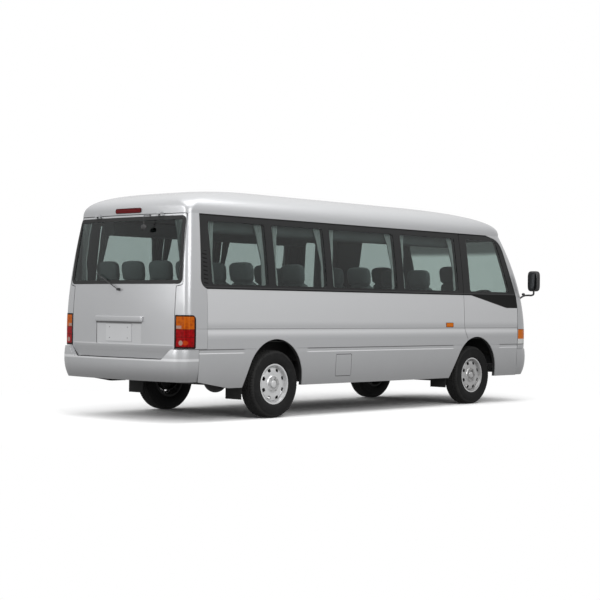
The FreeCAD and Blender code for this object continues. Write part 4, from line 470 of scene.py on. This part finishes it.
# High brake lamp: ribbed red in a dark rim.
def brakeLens():
    look = {"deep": rgb(0.055, 0.004, 0.005), "red": rgb(0.13, 0.008, 0.01), "rim": rgb(0.02, 0.002, 0.002),
            "half": (0.205, 0.209), "span": (2.306, 2.35, 0.002)}
    paint = Paint("brakeLens")
    comb, crest = ribs(paint, 300.0)
    rim = paint.larger(paint.step(abs(paint.y), *look["half"]), 1.0 - paint.within(paint.z, *look["span"]))
    return lensFinish(paint, paint.blend(rim, paint.blend(crest, look["deep"], look["red"]), look["rim"]), comb)


# Amber lamps: the corner lamp is clear below, and all have a darker edge where the ribs end.
def amberLens():
    look = {"amberDeep": rgb(0.36, 0.07, 0.002), "amber": rgb(0.7, 0.19, 0.006),
            "clearDeep": rgb(0.36, 0.37, 0.37), "clear": rgb(0.75, 0.76, 0.75), "edge": rgb(0.03, 0.012, 0.004),
            "cornerFrom": (2.6, 2.61), "clearBelow": (0.868, 0.872), "cornerUp": (0.8005, 0.9975, 0.0015),
            "markerAlong": (1.307, 1.451), "markerUp": (1.041, 1.087), "edgeDark": 0.85}
    paint = Paint("amberLens")
    comb, crest = ribs(paint)
    amber = paint.blend(crest, look["amberDeep"], look["amber"])
    clear = paint.blend(crest, look["clearDeep"], look["clear"])
    corner = paint.step(paint.x, *look["cornerFrom"])
    edge = corner * (1.0 - paint.within(paint.z, *look["cornerUp"]))
    marker = paint.within(paint.x, *look["markerAlong"]) * paint.within(paint.z, *look["markerUp"])
    dark = paint.larger(edge, (1.0 - corner) * (1.0 - marker)) * look["edgeDark"]
    colour = paint.blend(corner * paint.below(paint.z, *look["clearBelow"]), amber, clear)
    return lensFinish(paint, paint.blend(dark, colour, look["edge"]), comb)


# Head lamp: a bowl made bright by painted reflections, rings and a brighter middle, with a bulb in its middle
# behind flutes, by the distance from the lamp's centre.
def headLens():
    look = {"at": (0.71, 0.895), "flat": 0.67082, "deep": rgb(0.2, 0.21, 0.215), "bright": rgb(0.74, 0.76, 0.77),
            "bulb": rgb(0.86, 0.84, 0.76), "rim": rgb(0.02, 0.02, 0.02), "bulbEdge": (0.018, 0.022),
            "glowEdge": (0.0, 0.11), "frameUp": (0.808, 0.982, 0.002), "frameAcross": (0.528, 0.893, 0.002)}
    paint = Paint("headLens")
    across = abs(paint.y)
    away = paint.reach((across - look["at"][0]) * look["flat"], paint.z - look["at"][1])
    # Painted reflection: the bowl is brighter towards its middle, with rings.
    glow = paint.below(away, *look["glowEdge"])
    bowl = paint.step(paint.math("SINE", away * 160.0), -0.9, 0.9) * 0.4 + glow * 0.6
    colour = paint.blend(bowl, look["deep"], look["bright"])
    colour = paint.blend(paint.below(away, *look["bulbEdge"]), colour, look["bulb"])
    inner = paint.within(paint.z, *look["frameUp"]) * paint.within(across, *look["frameAcross"])
    colour = paint.blend(1.0 - inner, colour, look["rim"])
    return lensFinish(paint, colour, paint.math("SINE", paint.y * 380.0), 0.1)


def mirrorGlass():
    paint = Paint("mirrorGlass")
    return paint.finish(rgb(0.05, 0.052, 0.054), 0.05 + paint.noise(3.0) * 0.02, 1.0)


sideSilver = silverPaint("sideSilver", sideMarks)
endSilver = silverPaint("endSilver", endMarks)
bumperSilver = silverPaint("bumperSilver", bumperMarks)
bandPaint = bandBlack()
blackPlastic = mouldedPlastic("blackPlastic", rgb(0.02, 0.02, 0.021))
dashPlastic = mouldedPlastic("dashPlastic", rgb(0.06, 0.062, 0.065), 0.6, 300.0)
headlining = mouldedPlastic("headlining", rgb(0.12, 0.128, 0.128), 0.8, 160.0)
sideGlassPaint = tintedGlass("sideGlass", (0.685, 0.728, 0.718))
screenGlassPaint = tintedGlass("screenGlass", (0.735, 0.785, 0.768), (2.02, 2.1))
flapRubber = rubber("flapRubber", rgb(0.012, 0.012, 0.012))
tyrePaint = tyreRubber()
wheelPaint = wheelSilver()
steelBlack = underbody()
pipePaint = pipeSteel()
clothPaint = seatCloth()
curtainPaint = curtainCloth()
floorPaint = floorCover()
tailPaint = tailLens()
brakePaint = brakeLens()
amberPaint = amberLens()
headPaint = headLens()
mirrorPaint = mirrorGlass()
print("materials made")

# Whether a grid's rows close, its columns close, and its two ends are capped
ring = (True, True, False)
tube = (False, True, True)
ball = (False, True, False)
sheet = (False, False, False)


# Faces of a grid of points, rows by columns: each joins a point, the next row's, and both their neighbours.
def gridFaces(rows, columns, closeRows, closeColumns, capped):
    i = np.arange(rows if closeRows else rows - 1)
    j = np.arange(columns if closeColumns else columns - 1)
    i, j = (a.ravel() for a in np.meshgrid(i, j, indexing="ij"))
    nextI, nextJ = (i + 1) % rows, (j + 1) % columns
    corners = [i * columns + j, nextI * columns + j, nextI * columns + nextJ, i * columns + nextJ]
    faces = np.stack(corners, 1).tolist()
    if capped:
        faces.append(list(range(columns))[::-1])
        faces.append(list(range((rows - 1) * columns, rows * columns)))
    return faces


def linkPiece(name, mesh):
    piece = bpy.data.objects.new(name, mesh)
    bpy.context.scene.collection.objects.link(piece)
    return piece


def makePiece(name, points, faces, paint, body, slotName, angle, outward=True):
    mesh = bpy.data.meshes.new(name)
    mesh.from_pydata(points.tolist(), [], faces)
    piece = linkPiece(name, mesh)
    if outward:
        mend(mesh, 0.00002, True)
    settle(piece, paint, body, angle)
    return piece


def gridPiece(name, points, kind, *more):
    return makePiece(name, points.reshape(-1, 3), gridFaces(*points.shape[:2], *kind), *more)


def mend(mesh, near, outward):  # merges doubles, and turns faces outwards
    made = bmesh.new()
    made.from_mesh(mesh)
    bmesh.ops.remove_doubles(made, verts=made.verts, dist=near)
    if outward:
        bmesh.ops.recalc_face_normals(made, faces=made.faces)
    made.to_mesh(mesh)
    made.free()


def settle(piece, paint, body, angle):
    piece.data.polygons.foreach_set("use_smooth", np.ones(len(piece.data.polygons), bool))
    piece.data.set_sharp_from_angle(angle=math.radians(angle))
    piece.data.materials.clear()
    piece.data.materials.append(paint)
    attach(piece, body)


def readPoints(mesh):
    points = np.empty(len(mesh.vertices) * 3, np.float32)
    mesh.vertices.foreach_get("co", points)
    return points.reshape(-1, 3).astype(float)


# A section of (across, out) carried along a path: across = path direction x outward direction.
def sweptPiece(name, path, outward, section, *more):
    ahead = np.gradient(path, axis=0)
    ahead /= np.linalg.norm(ahead, axis=1)[:, None]
    across = np.cross(ahead, outward)
    across /= np.linalg.norm(across, axis=1)[:, None]
    out = np.cross(across, ahead)
    points = path[:, None] + across[:, None] * section[None, :, :1] + out[:, None] * section[None, :, 1:]
    return gridPiece(name, points, tube, *more)


# A rounded rectangle about the middle: quarter arcs at the corners of a box, straight runs between.
def roundedLoop(wide, high, radius, steps, runs):
    turn = np.linspace(0, math.pi / 2, steps)
    u, v = wide / 2 - radius, high / 2 - radius
    arcs = []
    for quarter, (cu, cv) in enumerate(((u, -v), (u, v), (-u, v), (-u, -v))):
        angle = turn + (quarter - 1) * math.pi / 2
        arcs.append(np.stack([cu + radius * np.cos(angle), cv + radius * np.sin(angle)], 1))
    share = np.linspace(0, 1, runs + 2)[1:-1, None]
    filled = []
    for k, arc in enumerate(arcs):
        filled += [arc, arc[-1] * (1 - share) + arcs[(k + 1) % 4][0] * share]
    return np.concatenate(filled)


# A cubic run through points: on a stretch h long from a to b, with slopes A and B and t from 0 to 1, it is
# (2t^3 - 3t^2 + 1) a + (t^3 - 2t^2 + t) h A + (3t^2 - 2t^3) b + (t^3 - t^2) h B.
def smoothRun(points, count):
    points = np.asarray(points, float)
    at = np.concatenate([[0], np.cumsum(np.linalg.norm(np.diff(points, axis=0), axis=1))])
    slope = np.gradient(points, at, axis=0)
    s = np.linspace(0, at[-1], count)
    k = np.clip(np.searchsorted(at, s, "right") - 1, 0, len(at) - 2)
    h = (at[k + 1] - at[k])[:, None]
    t = ((s - at[k])[:, None]) / h
    return ((2 * t ** 3 - 3 * t ** 2 + 1) * points[k] + (t ** 3 - 2 * t ** 2 + t) * h * slope[k]
            + (3 * t ** 2 - 2 * t ** 3) * points[k + 1] + (t ** 3 - t ** 2) * h * slope[k + 1])


# A pad is a superellipsoid: x = cos(lat)^p cos(lon)^q, y = cos(lat)^p sin(lon)^q and z = sin(lat)^p, each with
# its sign kept and times half the size. Small powers give a box with soft corners.
def padPoints(size, power, rows=28, columns=44):
    lat = np.linspace(-math.pi / 2, math.pi / 2, rows)[:, None]
    lon = np.linspace(0, 2 * math.pi, columns, endpoint=False)[None]

    def bent(value, p):
        return np.sign(value) * np.abs(value) ** p

    x = bent(np.cos(lat), power[0]) * bent(np.cos(lon), power[1])
    y = bent(np.cos(lat), power[0]) * bent(np.sin(lon), power[1])
    z = bent(np.sin(lat), power[0]) * np.ones_like(lon)
    return np.stack([x, y, z], -1) * (np.asarray(size) / 2)


# 1 in a band about 0 with soft edges: 1 / (1 + |value / half|^6)
def softBand(value, half):
    return 1 / (1 + (np.abs(value) / half) ** 6)


# Half the body's width: less by powers of the shares of the way up to the header and down to the sill.
def sideHalf(z):
    up = np.clip((z - form["crease"]) / (form["header"] - form["crease"]), 0, None)
    down = np.clip((form["crease"] - z) / (form["crease"] - form["sill"]), 0, None)
    lean, tuck = up ** form["tumblePower"] * form["tumble"], down ** form["tuckPower"] * form["tuck"]
    return form["halfWidth"] - lean - tuck


# A solid that keeps its shape: a merged copy stands for it, with even shading and its own material.
def smoothCopy(node, paint):
    source = nodes[node]
    copy = linkPiece(node + "_finish", source.data.copy())
    mend(copy.data, 0.00001, False)
    if copy.data.has_custom_normals:
        with bpy.context.temp_override(object=copy, active_object=copy):
            bpy.ops.mesh.customdata_custom_splitnormals_clear()
    settle(copy, paint, source["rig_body"], 28.0)
    copy.modifiers.new("evenShading", "WEIGHTED_NORMAL").keep_sharp = True
    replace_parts(copy, node)


corners = ("front_left", "front_right", "rear_left", "rear_right")
finishes = {
    sideSilver: ["side_right", "side_left", "driver_door", "entrance_leaf_front", "entrance_leaf_rear",
                 "fuel_lid"],
    endSilver: ["front_panel", "rear_surround", "tailgate", "roof"],
    bumperSilver: ["tail_bumper", "nose_bumper"],
    bandPaint: ["window_frames", "driver_door_frame"],
    sideGlassPaint: ["side_glass", "driver_door_glass", "tailgate_glass", "entrance_glass_front",
                     "entrance_glass_rear"],
    screenGlassPaint: ["windscreen"],
    blackPlastic: ["grille", "rear_wiper", "front_wipers", "tailgate_mirror"],
    headPaint: ["head_lamps"],
    amberPaint: ["indicator_lamps"],
    tailPaint: ["tail_lamps"],
    brakePaint: ["brake_lamp"],
    wheelPaint: ["wheel_" + corner for corner in corners],
    steelBlack: ["knuckle_left", "knuckle_right", "tie_rod", "front_axle", "rear_axle", "leaf_springs",
                 "chassis_frame", "engine_block", "fuel_tank", "seat_frames"],
    pipePaint: ["exhaust"],
    floorPaint: ["floor"],
    dashPlastic: ["dashboard"],
    flapRubber: ["mud_flaps", "tailgate_seal"],
}
for paint, names in finishes.items():
    for node in names:
        smoothCopy(node, paint)
print("solids finished")

# Tyres: the section is half of it from bead to crown, as (across, radius)
tyre = {
    "section": [(0.0775, 0.2235), (0.085, 0.233), (0.096, 0.25), (0.104, 0.275), (0.1072, 0.302),
                (0.1058, 0.33), (0.1, 0.356), (0.0905, 0.3745), (0.08, 0.3825), (0.06, 0.3862),
                (0.03, 0.3876), (0.0, 0.3879)],
    "around": 300, "across": 56, "tread": 0.379, "treadSharp": 1800.0, "blocks": 74, "sipeDeep": 0.008,
    "grooves": (0.02, 0.053), "grooveHalf": 0.0038, "grooveDeep": 0.0075, "grooveWave": 0.0022,
    "shoulder": (0.056, 0.106), "shoulderSoft": 0.01, "shoulderFoot": 0.352, "shoulderSlant": 40.0,
    "shoulderCut": 2.6, "middleSlant": 60.0, "middleCut": 3.0, "sipeSharp": 4.0,
    "rings": [(0.34, 0.0022), (0.256, 0.0025), (0.295, 0.0012)], "ringHigh": 0.0012, "ringHead": 0.36,
}


# Angle by section: the radius is the section's, less the deepest of the grooves, which are soft bands along a
# sine of the angle, and the sipes, a clipped sine of angle and place across; rings swell the sidewall.
def makeTyre(node, x, y):
    half = smoothRun(tyre["section"], tyre["across"])
    section = np.concatenate([half, (half * [-1, 1])[::-1][1:]])
    turn = np.linspace(0, 2 * math.pi, tyre["around"], endpoint=False)
    across, angle = np.meshgrid(section[:, 0], turn)
    radius = np.broadcast_to(section[:, 1], across.shape)
    wide = np.abs(across)
    onTread = 1 / (1 + np.exp(-(radius - tyre["tread"]) * tyre["treadSharp"]))
    wave = tyre["grooveWave"] * np.sin(angle * tyre["blocks"] / 2)
    cut = np.zeros_like(across)
    for place in tyre["grooves"]:
        for way in (-1, 1):
            groove = softBand(across - way * place - wave, tyre["grooveHalf"])
            cut = np.maximum(cut, groove * tyre["grooveDeep"] * onTread)
    inner, outer = tyre["shoulder"]
    shoulder = (np.clip((wide - inner) / tyre["shoulderSoft"], 0, 1)
                * np.clip((outer - wide) / tyre["shoulderSoft"], 0, 1) * (radius > tyre["shoulderFoot"]))
    slot = np.sin(angle * tyre["blocks"] + wide * tyre["shoulderSlant"]) * tyre["sipeSharp"] - tyre["shoulderCut"]
    cut = np.maximum(cut, np.clip(slot, 0, 1) * shoulder * tyre["sipeDeep"])
    slot = np.sin(angle * tyre["blocks"] + across * tyre["middleSlant"]) * tyre["sipeSharp"] - tyre["middleCut"]
    cut = np.maximum(cut, np.clip(slot, 0, 1) * tyre["sipeDeep"] * onTread * (wide < inner))
    rings = tyre["ringHigh"] * sum(softBand(radius - at, ringHalf) for at, ringHalf in tyre["rings"])
    swell = across + np.sign(across) * rings * (radius < tyre["ringHead"])
    radius = radius - cut
    points = np.stack([x + radius * np.cos(angle), y + swell, form["axleHeight"] + radius * np.sin(angle)], -1)
    piece = gridPiece(node + "_rubber", points, ring, tyrePaint, nodes[node]["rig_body"], "tyre_rubber", 60.0)
    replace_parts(piece, node)


for corner in corners:
    end, hand = corner.split("_")
    makeTyre("tyre_" + corner, form[end + "Axle"], form[end + "Wheel"] * (1 if hand == "left" else -1))
print("tyres made")

# Seats: three pads, blown up as one by a cloth simulation, with seams sewn in
seat = {
    "pads": [{"size": (0.43, 0.4, 0.125), "at": (0.222, 0.0, -0.066), "lean": 0.0, "power": (0.35, 0.42)},
             {"size": (0.105, 0.4, 0.5), "at": (-0.022, 0.0, 0.205), "lean": -0.15, "power": (0.35, 0.42)},
             {"size": (0.1, 0.36, 0.262), "at": (-0.1, 0.0, 0.542), "lean": -0.15, "power": (0.52, 0.5)}],
    "voxel": 0.012, "pressure": 4.0, "frames": 20, "cap": 0.012, "fill": 0.8,
    "neck": 0.432, "neckHalf": 0.013, "neckDeep": 0.018, "neckFront": 0.06, "seamHalf": 0.006,
    "sideSeam": 0.135, "sideDeep": 0.006, "sideSpan": (0.02, 0.42), "frontSeam": 0.3, "frontDeep": 0.004,
}


def seatForm():
    made = bmesh.new()
    for pad in seat["pads"]:
        points = padPoints(pad["size"], pad["power"])
        flat = points.reshape(-1, 3) @ np.array(Matrix.Rotation(pad["lean"], 3, "Y")).T + pad["at"]
        mesh = bpy.data.meshes.new("pad")
        mesh.from_pydata(flat.tolist(), [], gridFaces(*points.shape[:2], *ball))
        made.from_mesh(mesh)
    bmesh.ops.remove_doubles(made, verts=made.verts, dist=0.0004)
    bmesh.ops.recalc_face_normals(made, faces=made.faces)
    mesh = bpy.data.meshes.new("seatForm")
    made.to_mesh(mesh)
    made.free()
    return mesh


# The pads are remeshed as one and swell under pressure, each point by the cap at most.
def padSimulated(mesh):
    piece = linkPiece("seatTrial", mesh)
    bpy.context.view_layer.objects.active = piece
    remesh = piece.modifiers.new("remesh", "REMESH")
    remesh.mode = "VOXEL"
    remesh.voxel_size = seat["voxel"]
    bpy.ops.object.modifier_apply(modifier=remesh.name)
    start = readPoints(piece.data)
    cloth = piece.modifiers.new("cloth", "CLOTH")
    cloth.settings.use_pressure = True
    cloth.settings.uniform_pressure_force = seat["pressure"]
    cloth.settings.effector_weights.gravity = 0.0
    for step in range(seat["frames"]):
        bpy.context.scene.frame_set(step + 1)
    bpy.ops.object.modifier_apply(modifier=cloth.name)
    bpy.context.scene.frame_set(1)
    move = readPoints(piece.data) - start
    far = np.linalg.norm(move, axis=1)[:, None]
    end = start + move * np.minimum(1, seat["cap"] / np.maximum(far, 1e-9))
    piece.data.vertices.foreach_set("co", end.astype(np.float32).ravel())
    result = piece.data
    bpy.data.objects.remove(piece)
    return result


# Seams are soft bands that move points towards the pad's middle line: across the neck, down both sides of the
# back, and across the cushion.
def sewSeams(points):
    x, y, z = points.T
    foot, head = seat["sideSpan"]
    onBack = z > foot
    neck = softBand(z - seat["neck"], seat["neckHalf"]) * (x < seat["neckFront"]) * seat["neckDeep"]
    sides = softBand(np.abs(y) - seat["sideSeam"], seat["seamHalf"]) * onBack * (z < head) * seat["sideDeep"]
    front = softBand(x - seat["frontSeam"], seat["seamHalf"]) * (z < foot) * seat["frontDeep"]
    middle = [np.where(onBack, -0.03 - 0.14 * z, x), y * 0.6, np.where(onBack, z, seat["pads"][0]["at"][2])]
    inward = np.stack(middle, 1) - points
    size = np.linalg.norm(inward, axis=1)[:, None]
    return points + inward / np.maximum(size, 1e-9) * (neck + sides + front)[:, None]


# Rows from the rear: four seats in the last, three behind the entrance, two beside it, and two in the cab
seating = {"rows": (-2.9, -2.06, -1.19, 0.04, 1.265), "height": 1.12, "window": 0.6751, "aisle": 0.2322,
           "leftUntil": 0.16, "cabRow": 2.08, "cabHalf": 0.6, "cabHeight": 1.19}


def seatPlaces():
    window, aisle = seating["window"], seating["aisle"]
    places = []
    for row, x in enumerate(seating["rows"]):
        ys = [-window, -aisle]
        if row == 0:
            ys += [aisle, window]
        elif x < seating["leftUntil"]:
            ys.append(window)
        places += [(x, y, seating["height"]) for y in ys]
    return places + [(seating["cabRow"], side * seating["cabHalf"], seating["cabHeight"]) for side in (-1, 1)]


seatMesh = padSimulated(seatForm())
seatPoints = sewSeams(readPoints(seatMesh))
seatCorners = np.empty(len(seatMesh.loops), np.int32)
seatMesh.loops.foreach_get("vertex_index", seatCorners)
seatFaces = seatCorners.reshape(-1, 4).tolist()
for count, place in enumerate(seatPlaces()):
    piece = makePiece("seat_%02d" % count, seatPoints + place, seatFaces, clothPaint, "body", "seat_fabric", 80.0)
    if count == 0:
        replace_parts(piece, "seats")
print("seats made")

# Curtains, gathered in towards a tie and free below it, at both ends of each window
curtain = {"top": 2.232, "foot": 1.506, "wide": 0.15, "tie": 1.74, "tieWide": 0.062, "widenPower": 1.3,
           "flare": 0.02, "flarePower": 0.8, "folds": 7, "deep": 0.01, "deepest": 1.25, "phase": 9.0,
           "sway": 0.35, "swayPitch": 9.0, "ripple": 0.003, "ripplePitch": (23.0, 14.0),
           "set": 0.06, "behind": 0.004, "ahead": 0.045, "columns": 85, "rows": 44}
tailCurtain = {"outer": 0.858, "room": 0.011}
windows = ((-2.949, -2.075), (-1.93, -1.045), (-0.93, 0.3), (0.44, 1.6))


# Width at a height: the tie's, wider by a power of the share of the way up to the rail or down to the foot.
def curtainWidth(z):
    up = np.clip((z - curtain["tie"]) / (curtain["top"] - curtain["tie"]), 0, 1)
    down = np.clip((curtain["tie"] - z) / (curtain["tie"] - curtain["foot"]), 0, 1)
    return (curtain["tieWide"] + (curtain["wide"] - curtain["tieWide"]) * up ** curtain["widenPower"]
            + curtain["flare"] * down ** curtain["flarePower"])


# Along the rail u runs 0 to 1; the fold is a sine of u, deeper where the cloth is squeezed at the tie.
def makeCurtain(name, edge, way, onWall, body):
    u = np.linspace(0, 1, curtain["columns"])[None]
    z = np.linspace(curtain["top"], curtain["foot"], curtain["rows"])[:, None]
    wide = curtainWidth(z)
    sway = curtain["sway"] * np.sin(z * curtain["swayPitch"])
    wave = np.sin(2 * math.pi * curtain["folds"] * u + edge * curtain["phase"] + sway)
    down, over = curtain["ripplePitch"]
    along = edge + way * (wide * u + curtain["ripple"] * np.sin(z * down + u * over))
    squeeze = np.minimum((curtain["wide"] / wide) ** 0.5, curtain["deepest"])
    points = onWall(along, z * np.ones_like(u), wave * curtain["deep"] * squeeze)
    piece = gridPiece(name, points, sheet, curtainPaint, body, "curtain_cloth", 80.0, False)
    fold = piece.data.attributes.new("fold", "FLOAT", "POINT")
    fold.data.foreach_set("value", wave.astype(np.float32).ravel())
    diagonals = (points[1:, 1:] - points[:-1, :-1]), (points[1:, :-1] - points[:-1, 1:])
    return piece


# A cloth on a side wall lies inside its half width, and on the tailgate in the middle of its own solid.
def sideWall(side):
    return lambda along, z, fold: np.stack([along, side * (sideHalf(z) - curtain["set"] + fold), z], -1)


def tailWall(along, z, fold):
    low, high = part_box("tailgate_curtains")
    fold = np.clip(fold, -tailCurtain["room"], tailCurtain["room"])
    return np.stack([(low[0] + high[0]) / 2 + fold, along, z], -1)


made = 0
for side, spans in ((-1, windows), (1, windows[:3])):
    for rear, front in spans:
        for edge, way in ((rear + curtain["behind"], 1), (front + curtain["ahead"], -1)):
            piece = makeCurtain("curtain_%02d" % made, edge, way, sideWall(side), "body")
            if made == 0:
                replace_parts(piece, "curtains")
            made += 1
for side, label in ((-1, "right"), (1, "left")):
    edge = side * tailCurtain["outer"]
    piece = makeCurtain("tailCurtain_" + label, edge, -side, tailWall, "tailgate_body")
    if side < 0:
        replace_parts(piece, "tailgate_curtains")
print("curtains made")

# Air ducts in the corners of the roof, a rounded section carried along the cabin
duct = {"wide": 0.17, "high": 0.155, "round": 0.045, "y": 0.748, "z": 2.165, "rear": -2.93, "stations": 60}
ductSection = roundedLoop(duct["wide"], duct["high"], duct["round"], 8, 3)
for side, label, front in ((-1, "right", 1.62), (1, "left", 0.44)):
    path = np.full((duct["stations"], 3), (0.0, side * duct["y"], duct["z"]))
    path[:, 0] = np.linspace(duct["rear"], front, duct["stations"])
    sweptPiece("airDuct_" + label, path, (0.0, 0.0, 1.0), ductSection, headlining, "body", "black_plastic", 50.0)
print("ducts made")

# The bar over the number plate
garnish = {"half": 0.404, "foot": 1.092, "head": 1.157, "deep": 0.019, "power": (40.0, 5.0), "sunk": 0.001,
           "back": 0.004, "columns": 81, "rows": 25}


# The tail's outer face: it leans forward by a power of the share of the way up, and bows by y^2 / 2 radius.
def tailAt(y, z):
    share = np.clip((z - form["tailRise"]) / (form["header"] - form["tailRise"]), 0, None)
    lean = -form["halfLength"] + form["tailBack"] + form["tailRake"] * share ** form["tailPower"]
    return lean + y ** 2 / 2 / form["tailBow"]


# For u across and v up, -1 to 1, it stands proud by (1 - |u|^n)^0.5 (1 - |v|^m)^0.5, on a back that is flush.
def makeGarnish():
    u = np.sin(np.linspace(-math.pi / 2, math.pi / 2, garnish["columns"]))[None]
    v = np.sin(np.linspace(-math.pi / 2, math.pi / 2, garnish["rows"]))[:, None]
    n, m = garnish["power"]
    deep = garnish["deep"] * np.sqrt(1 - np.abs(u) ** n) * np.sqrt(1 - np.abs(v) ** m) - garnish["sunk"]
    y = u * garnish["half"] * np.ones_like(v)
    z = (garnish["foot"] + garnish["head"]) / 2 + v * (garnish["head"] - garnish["foot"]) / 2 * np.ones_like(u)
    front = np.stack([tailAt(y, z) - deep, y, z], -1)
    back = np.stack([tailAt(y, z) + garnish["back"], y, z], -1)
    points = np.concatenate([front, back[:, ::-1]], 1)
    gridPiece("plateGarnish", points, tube, endSilver, "tailgate_body", "silver_paint", 50.0)


makeGarnish()
print("garnish made")

# Outside mirrors: a pad shape is the head, with its glass, on a round tube that follows a smooth run
mirror = {"at": (3.215, 1.13, 1.675), "size": (0.08, 0.178, 0.284), "power": (0.42, 0.5),
          "glass": (0.02, 0.148, 0.246), "glassSet": (-0.034, 0.0, 0.0), "tube": 0.0125, "stations": 60,
          "arm": [(3.126, 0.945, 1.42), (3.16, 0.965, 1.452), (3.198, 0.99, 1.473), (3.215, 1.04, 1.478),
                  (3.215, 1.1, 1.479), (3.215, 1.124, 1.49), (3.215, 1.13, 1.54)],
          "knob": (3.19, 0.975, 1.492), "knobSize": (0.04, 0.046, 0.036), "knobPower": (0.9, 0.9)}


def makeMirror(side, label):
    turned = np.array([1.0, side, 1.0])
    at = np.array(mirror["at"]) * turned
    circle = np.linspace(0, 2 * math.pi, 20, endpoint=False)
    section = np.stack([np.cos(circle), np.sin(circle)], 1) * mirror["tube"]
    black = (blackPlastic, "body", "black_plastic", 60.0)
    head = gridPiece("mirrorHead_" + label, padPoints(mirror["size"], mirror["power"]) + at, ball, *black)
    glass = padPoints(mirror["glass"], mirror["power"]) + at + mirror["glassSet"]
    gridPiece("mirrorGlass_" + label, glass, ball, mirrorPaint, "body", "tinted_glass", 60.0)
    path = smoothRun(mirror["arm"], mirror["stations"]) * turned
    sweptPiece("mirrorArm_" + label, path, (1.0, 0.0, 0.0), section, *black)
    knob = padPoints(mirror["knobSize"], mirror["knobPower"]) + np.array(mirror["knob"]) * turned
    gridPiece("mirrorKnob_" + label, knob, ball, *black)
    return head


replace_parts(makeMirror(-1, "right"), "mirrors")
makeMirror(1, "left")
print("mirrors made")

# Floor, world, lamps and camera
stage = {"pale": (0.9, 0.9, 0.9), "bounce": (0.3, 0.3, 0.3), "mirrored": 0.35, "near": 1.4, "far": 4.5,
         "flat": 0.67082, "size": 60.0, "low": -0.0005, "horizon": 0.46, "zenith": 1.05, "skySpan": (-0.05, 0.75),
         "glossWhite": 0.25}


# The floor is pale under and round the piece, and fades to the white of the background with distance.
def makeStage():
    paint = Paint("paleFloor")
    camera, glossy, through = paint.rays()
    away = paint.reach(paint.x * stage["flat"], paint.y)
    fade = camera * paint.step(away, stage["near"], stage["far"])
    seen = paint.larger(paint.larger(glossy, through) * stage["mirrored"], fade)
    solid = paint.add("BsdfDiffuse", {}, {0: paint.blend(camera, rgb(*stage["bounce"]), rgb(*stage["pale"]))})
    glow = paint.add("Emission", {}, {0: rgb(1, 1, 1), 1: 1.0})
    mesh = bpy.data.meshes.new("floorPlane")
    size, low = stage["size"], stage["low"]
    square = [(-size, -size, low), (size, -size, low), (size, size, low), (-size, size, low)]
    mesh.from_pydata(square, [], [(0, 1, 2, 3)])
    mesh.materials.append(paint.output(paint.add("MixShader", {}, {0: seen, 1: solid, 2: glow})))
    linkPiece("floorPlane", mesh)


# The world is white where the camera looks at it; its light on the piece grows from the horizon to the zenith.
def makeWorld():
    paint = Paint("studio", True)
    bpy.context.scene.world = paint.owner
    camera, glossy, through = paint.rays()
    seen = paint.larger(paint.larger(camera, through), glossy * stage["glossWhite"])
    sky = paint.step(paint.z, *stage["skySpan"], stage["horizon"], stage["zenith"])
    level = paint.add("MapRange", {}, {0: seen, 3: sky, 4: 1.0})
    paint.output(paint.add("Background", {}, {0: rgb(1, 1, 1), 1: level}), "OutputWorld")


lamps = {
    "top": {"at": (-1.0, -2.0, 8.0), "to": (0.0, 0.0, 1.0), "size": (9.0, 6.0), "watts": 420.0},
    "key": {"at": (-5.0, -9.0, 5.0), "to": (0.0, 0.0, 1.2), "size": (6.0, 4.0), "watts": 380.0},
    "tail": {"at": (-10.0, 1.0, 4.0), "to": (-3.0, 0.0, 1.4), "size": (4.0, 4.0), "watts": 225.0},
}


def makeLamps():
    for name, lamp in lamps.items():
        data = bpy.data.lights.new(name, "AREA")
        data.shape = "RECTANGLE"
        data.size, data.size_y = lamp["size"]
        data.energy = lamp["watts"]
        piece = linkPiece(name, data)
        piece.location = lamp["at"]
        piece.rotation_mode = "QUATERNION"
        piece.rotation_quaternion = (Vector(lamp["to"]) - Vector(lamp["at"])).to_track_quat("-Z", "Y")


# The camera stands behind the right rear corner; yaw, pitch and roll are in radians.
camera = {"at": (-14.026, -12.3293, 1.26606), "yaw": 0.73582, "pitch": 0.005342, "roll": 0.011899,
          "lens": 86.987, "sensor": 36.0, "farthest": 200.0}


def makeCamera():
    yaw, pitch, roll = camera["yaw"], camera["pitch"], camera["roll"]
    ahead = Vector((math.cos(yaw) * math.cos(pitch), math.sin(yaw) * math.cos(pitch), math.sin(pitch)))
    right = Vector((math.sin(yaw), -math.cos(yaw), 0.0))
    up = right.cross(ahead)
    tilted = right * math.cos(roll) + up * math.sin(roll)
    upright = up * math.cos(roll) - right * math.sin(roll)
    data = bpy.data.cameras.new("photoView")
    data.lens, data.sensor_width, data.clip_end = camera["lens"], camera["sensor"], camera["farthest"]
    piece = linkPiece("photoView", data)
    turn = Matrix((tilted, upright, -ahead)).transposed().to_4x4()
    piece.matrix_world = Matrix.Translation(Vector(camera["at"])) @ turn
    bpy.context.scene.camera = piece


makeStage()
makeWorld()
makeLamps()
makeCamera()
bpy.context.scene.view_settings.view_transform = "Standard"
print("stage set")
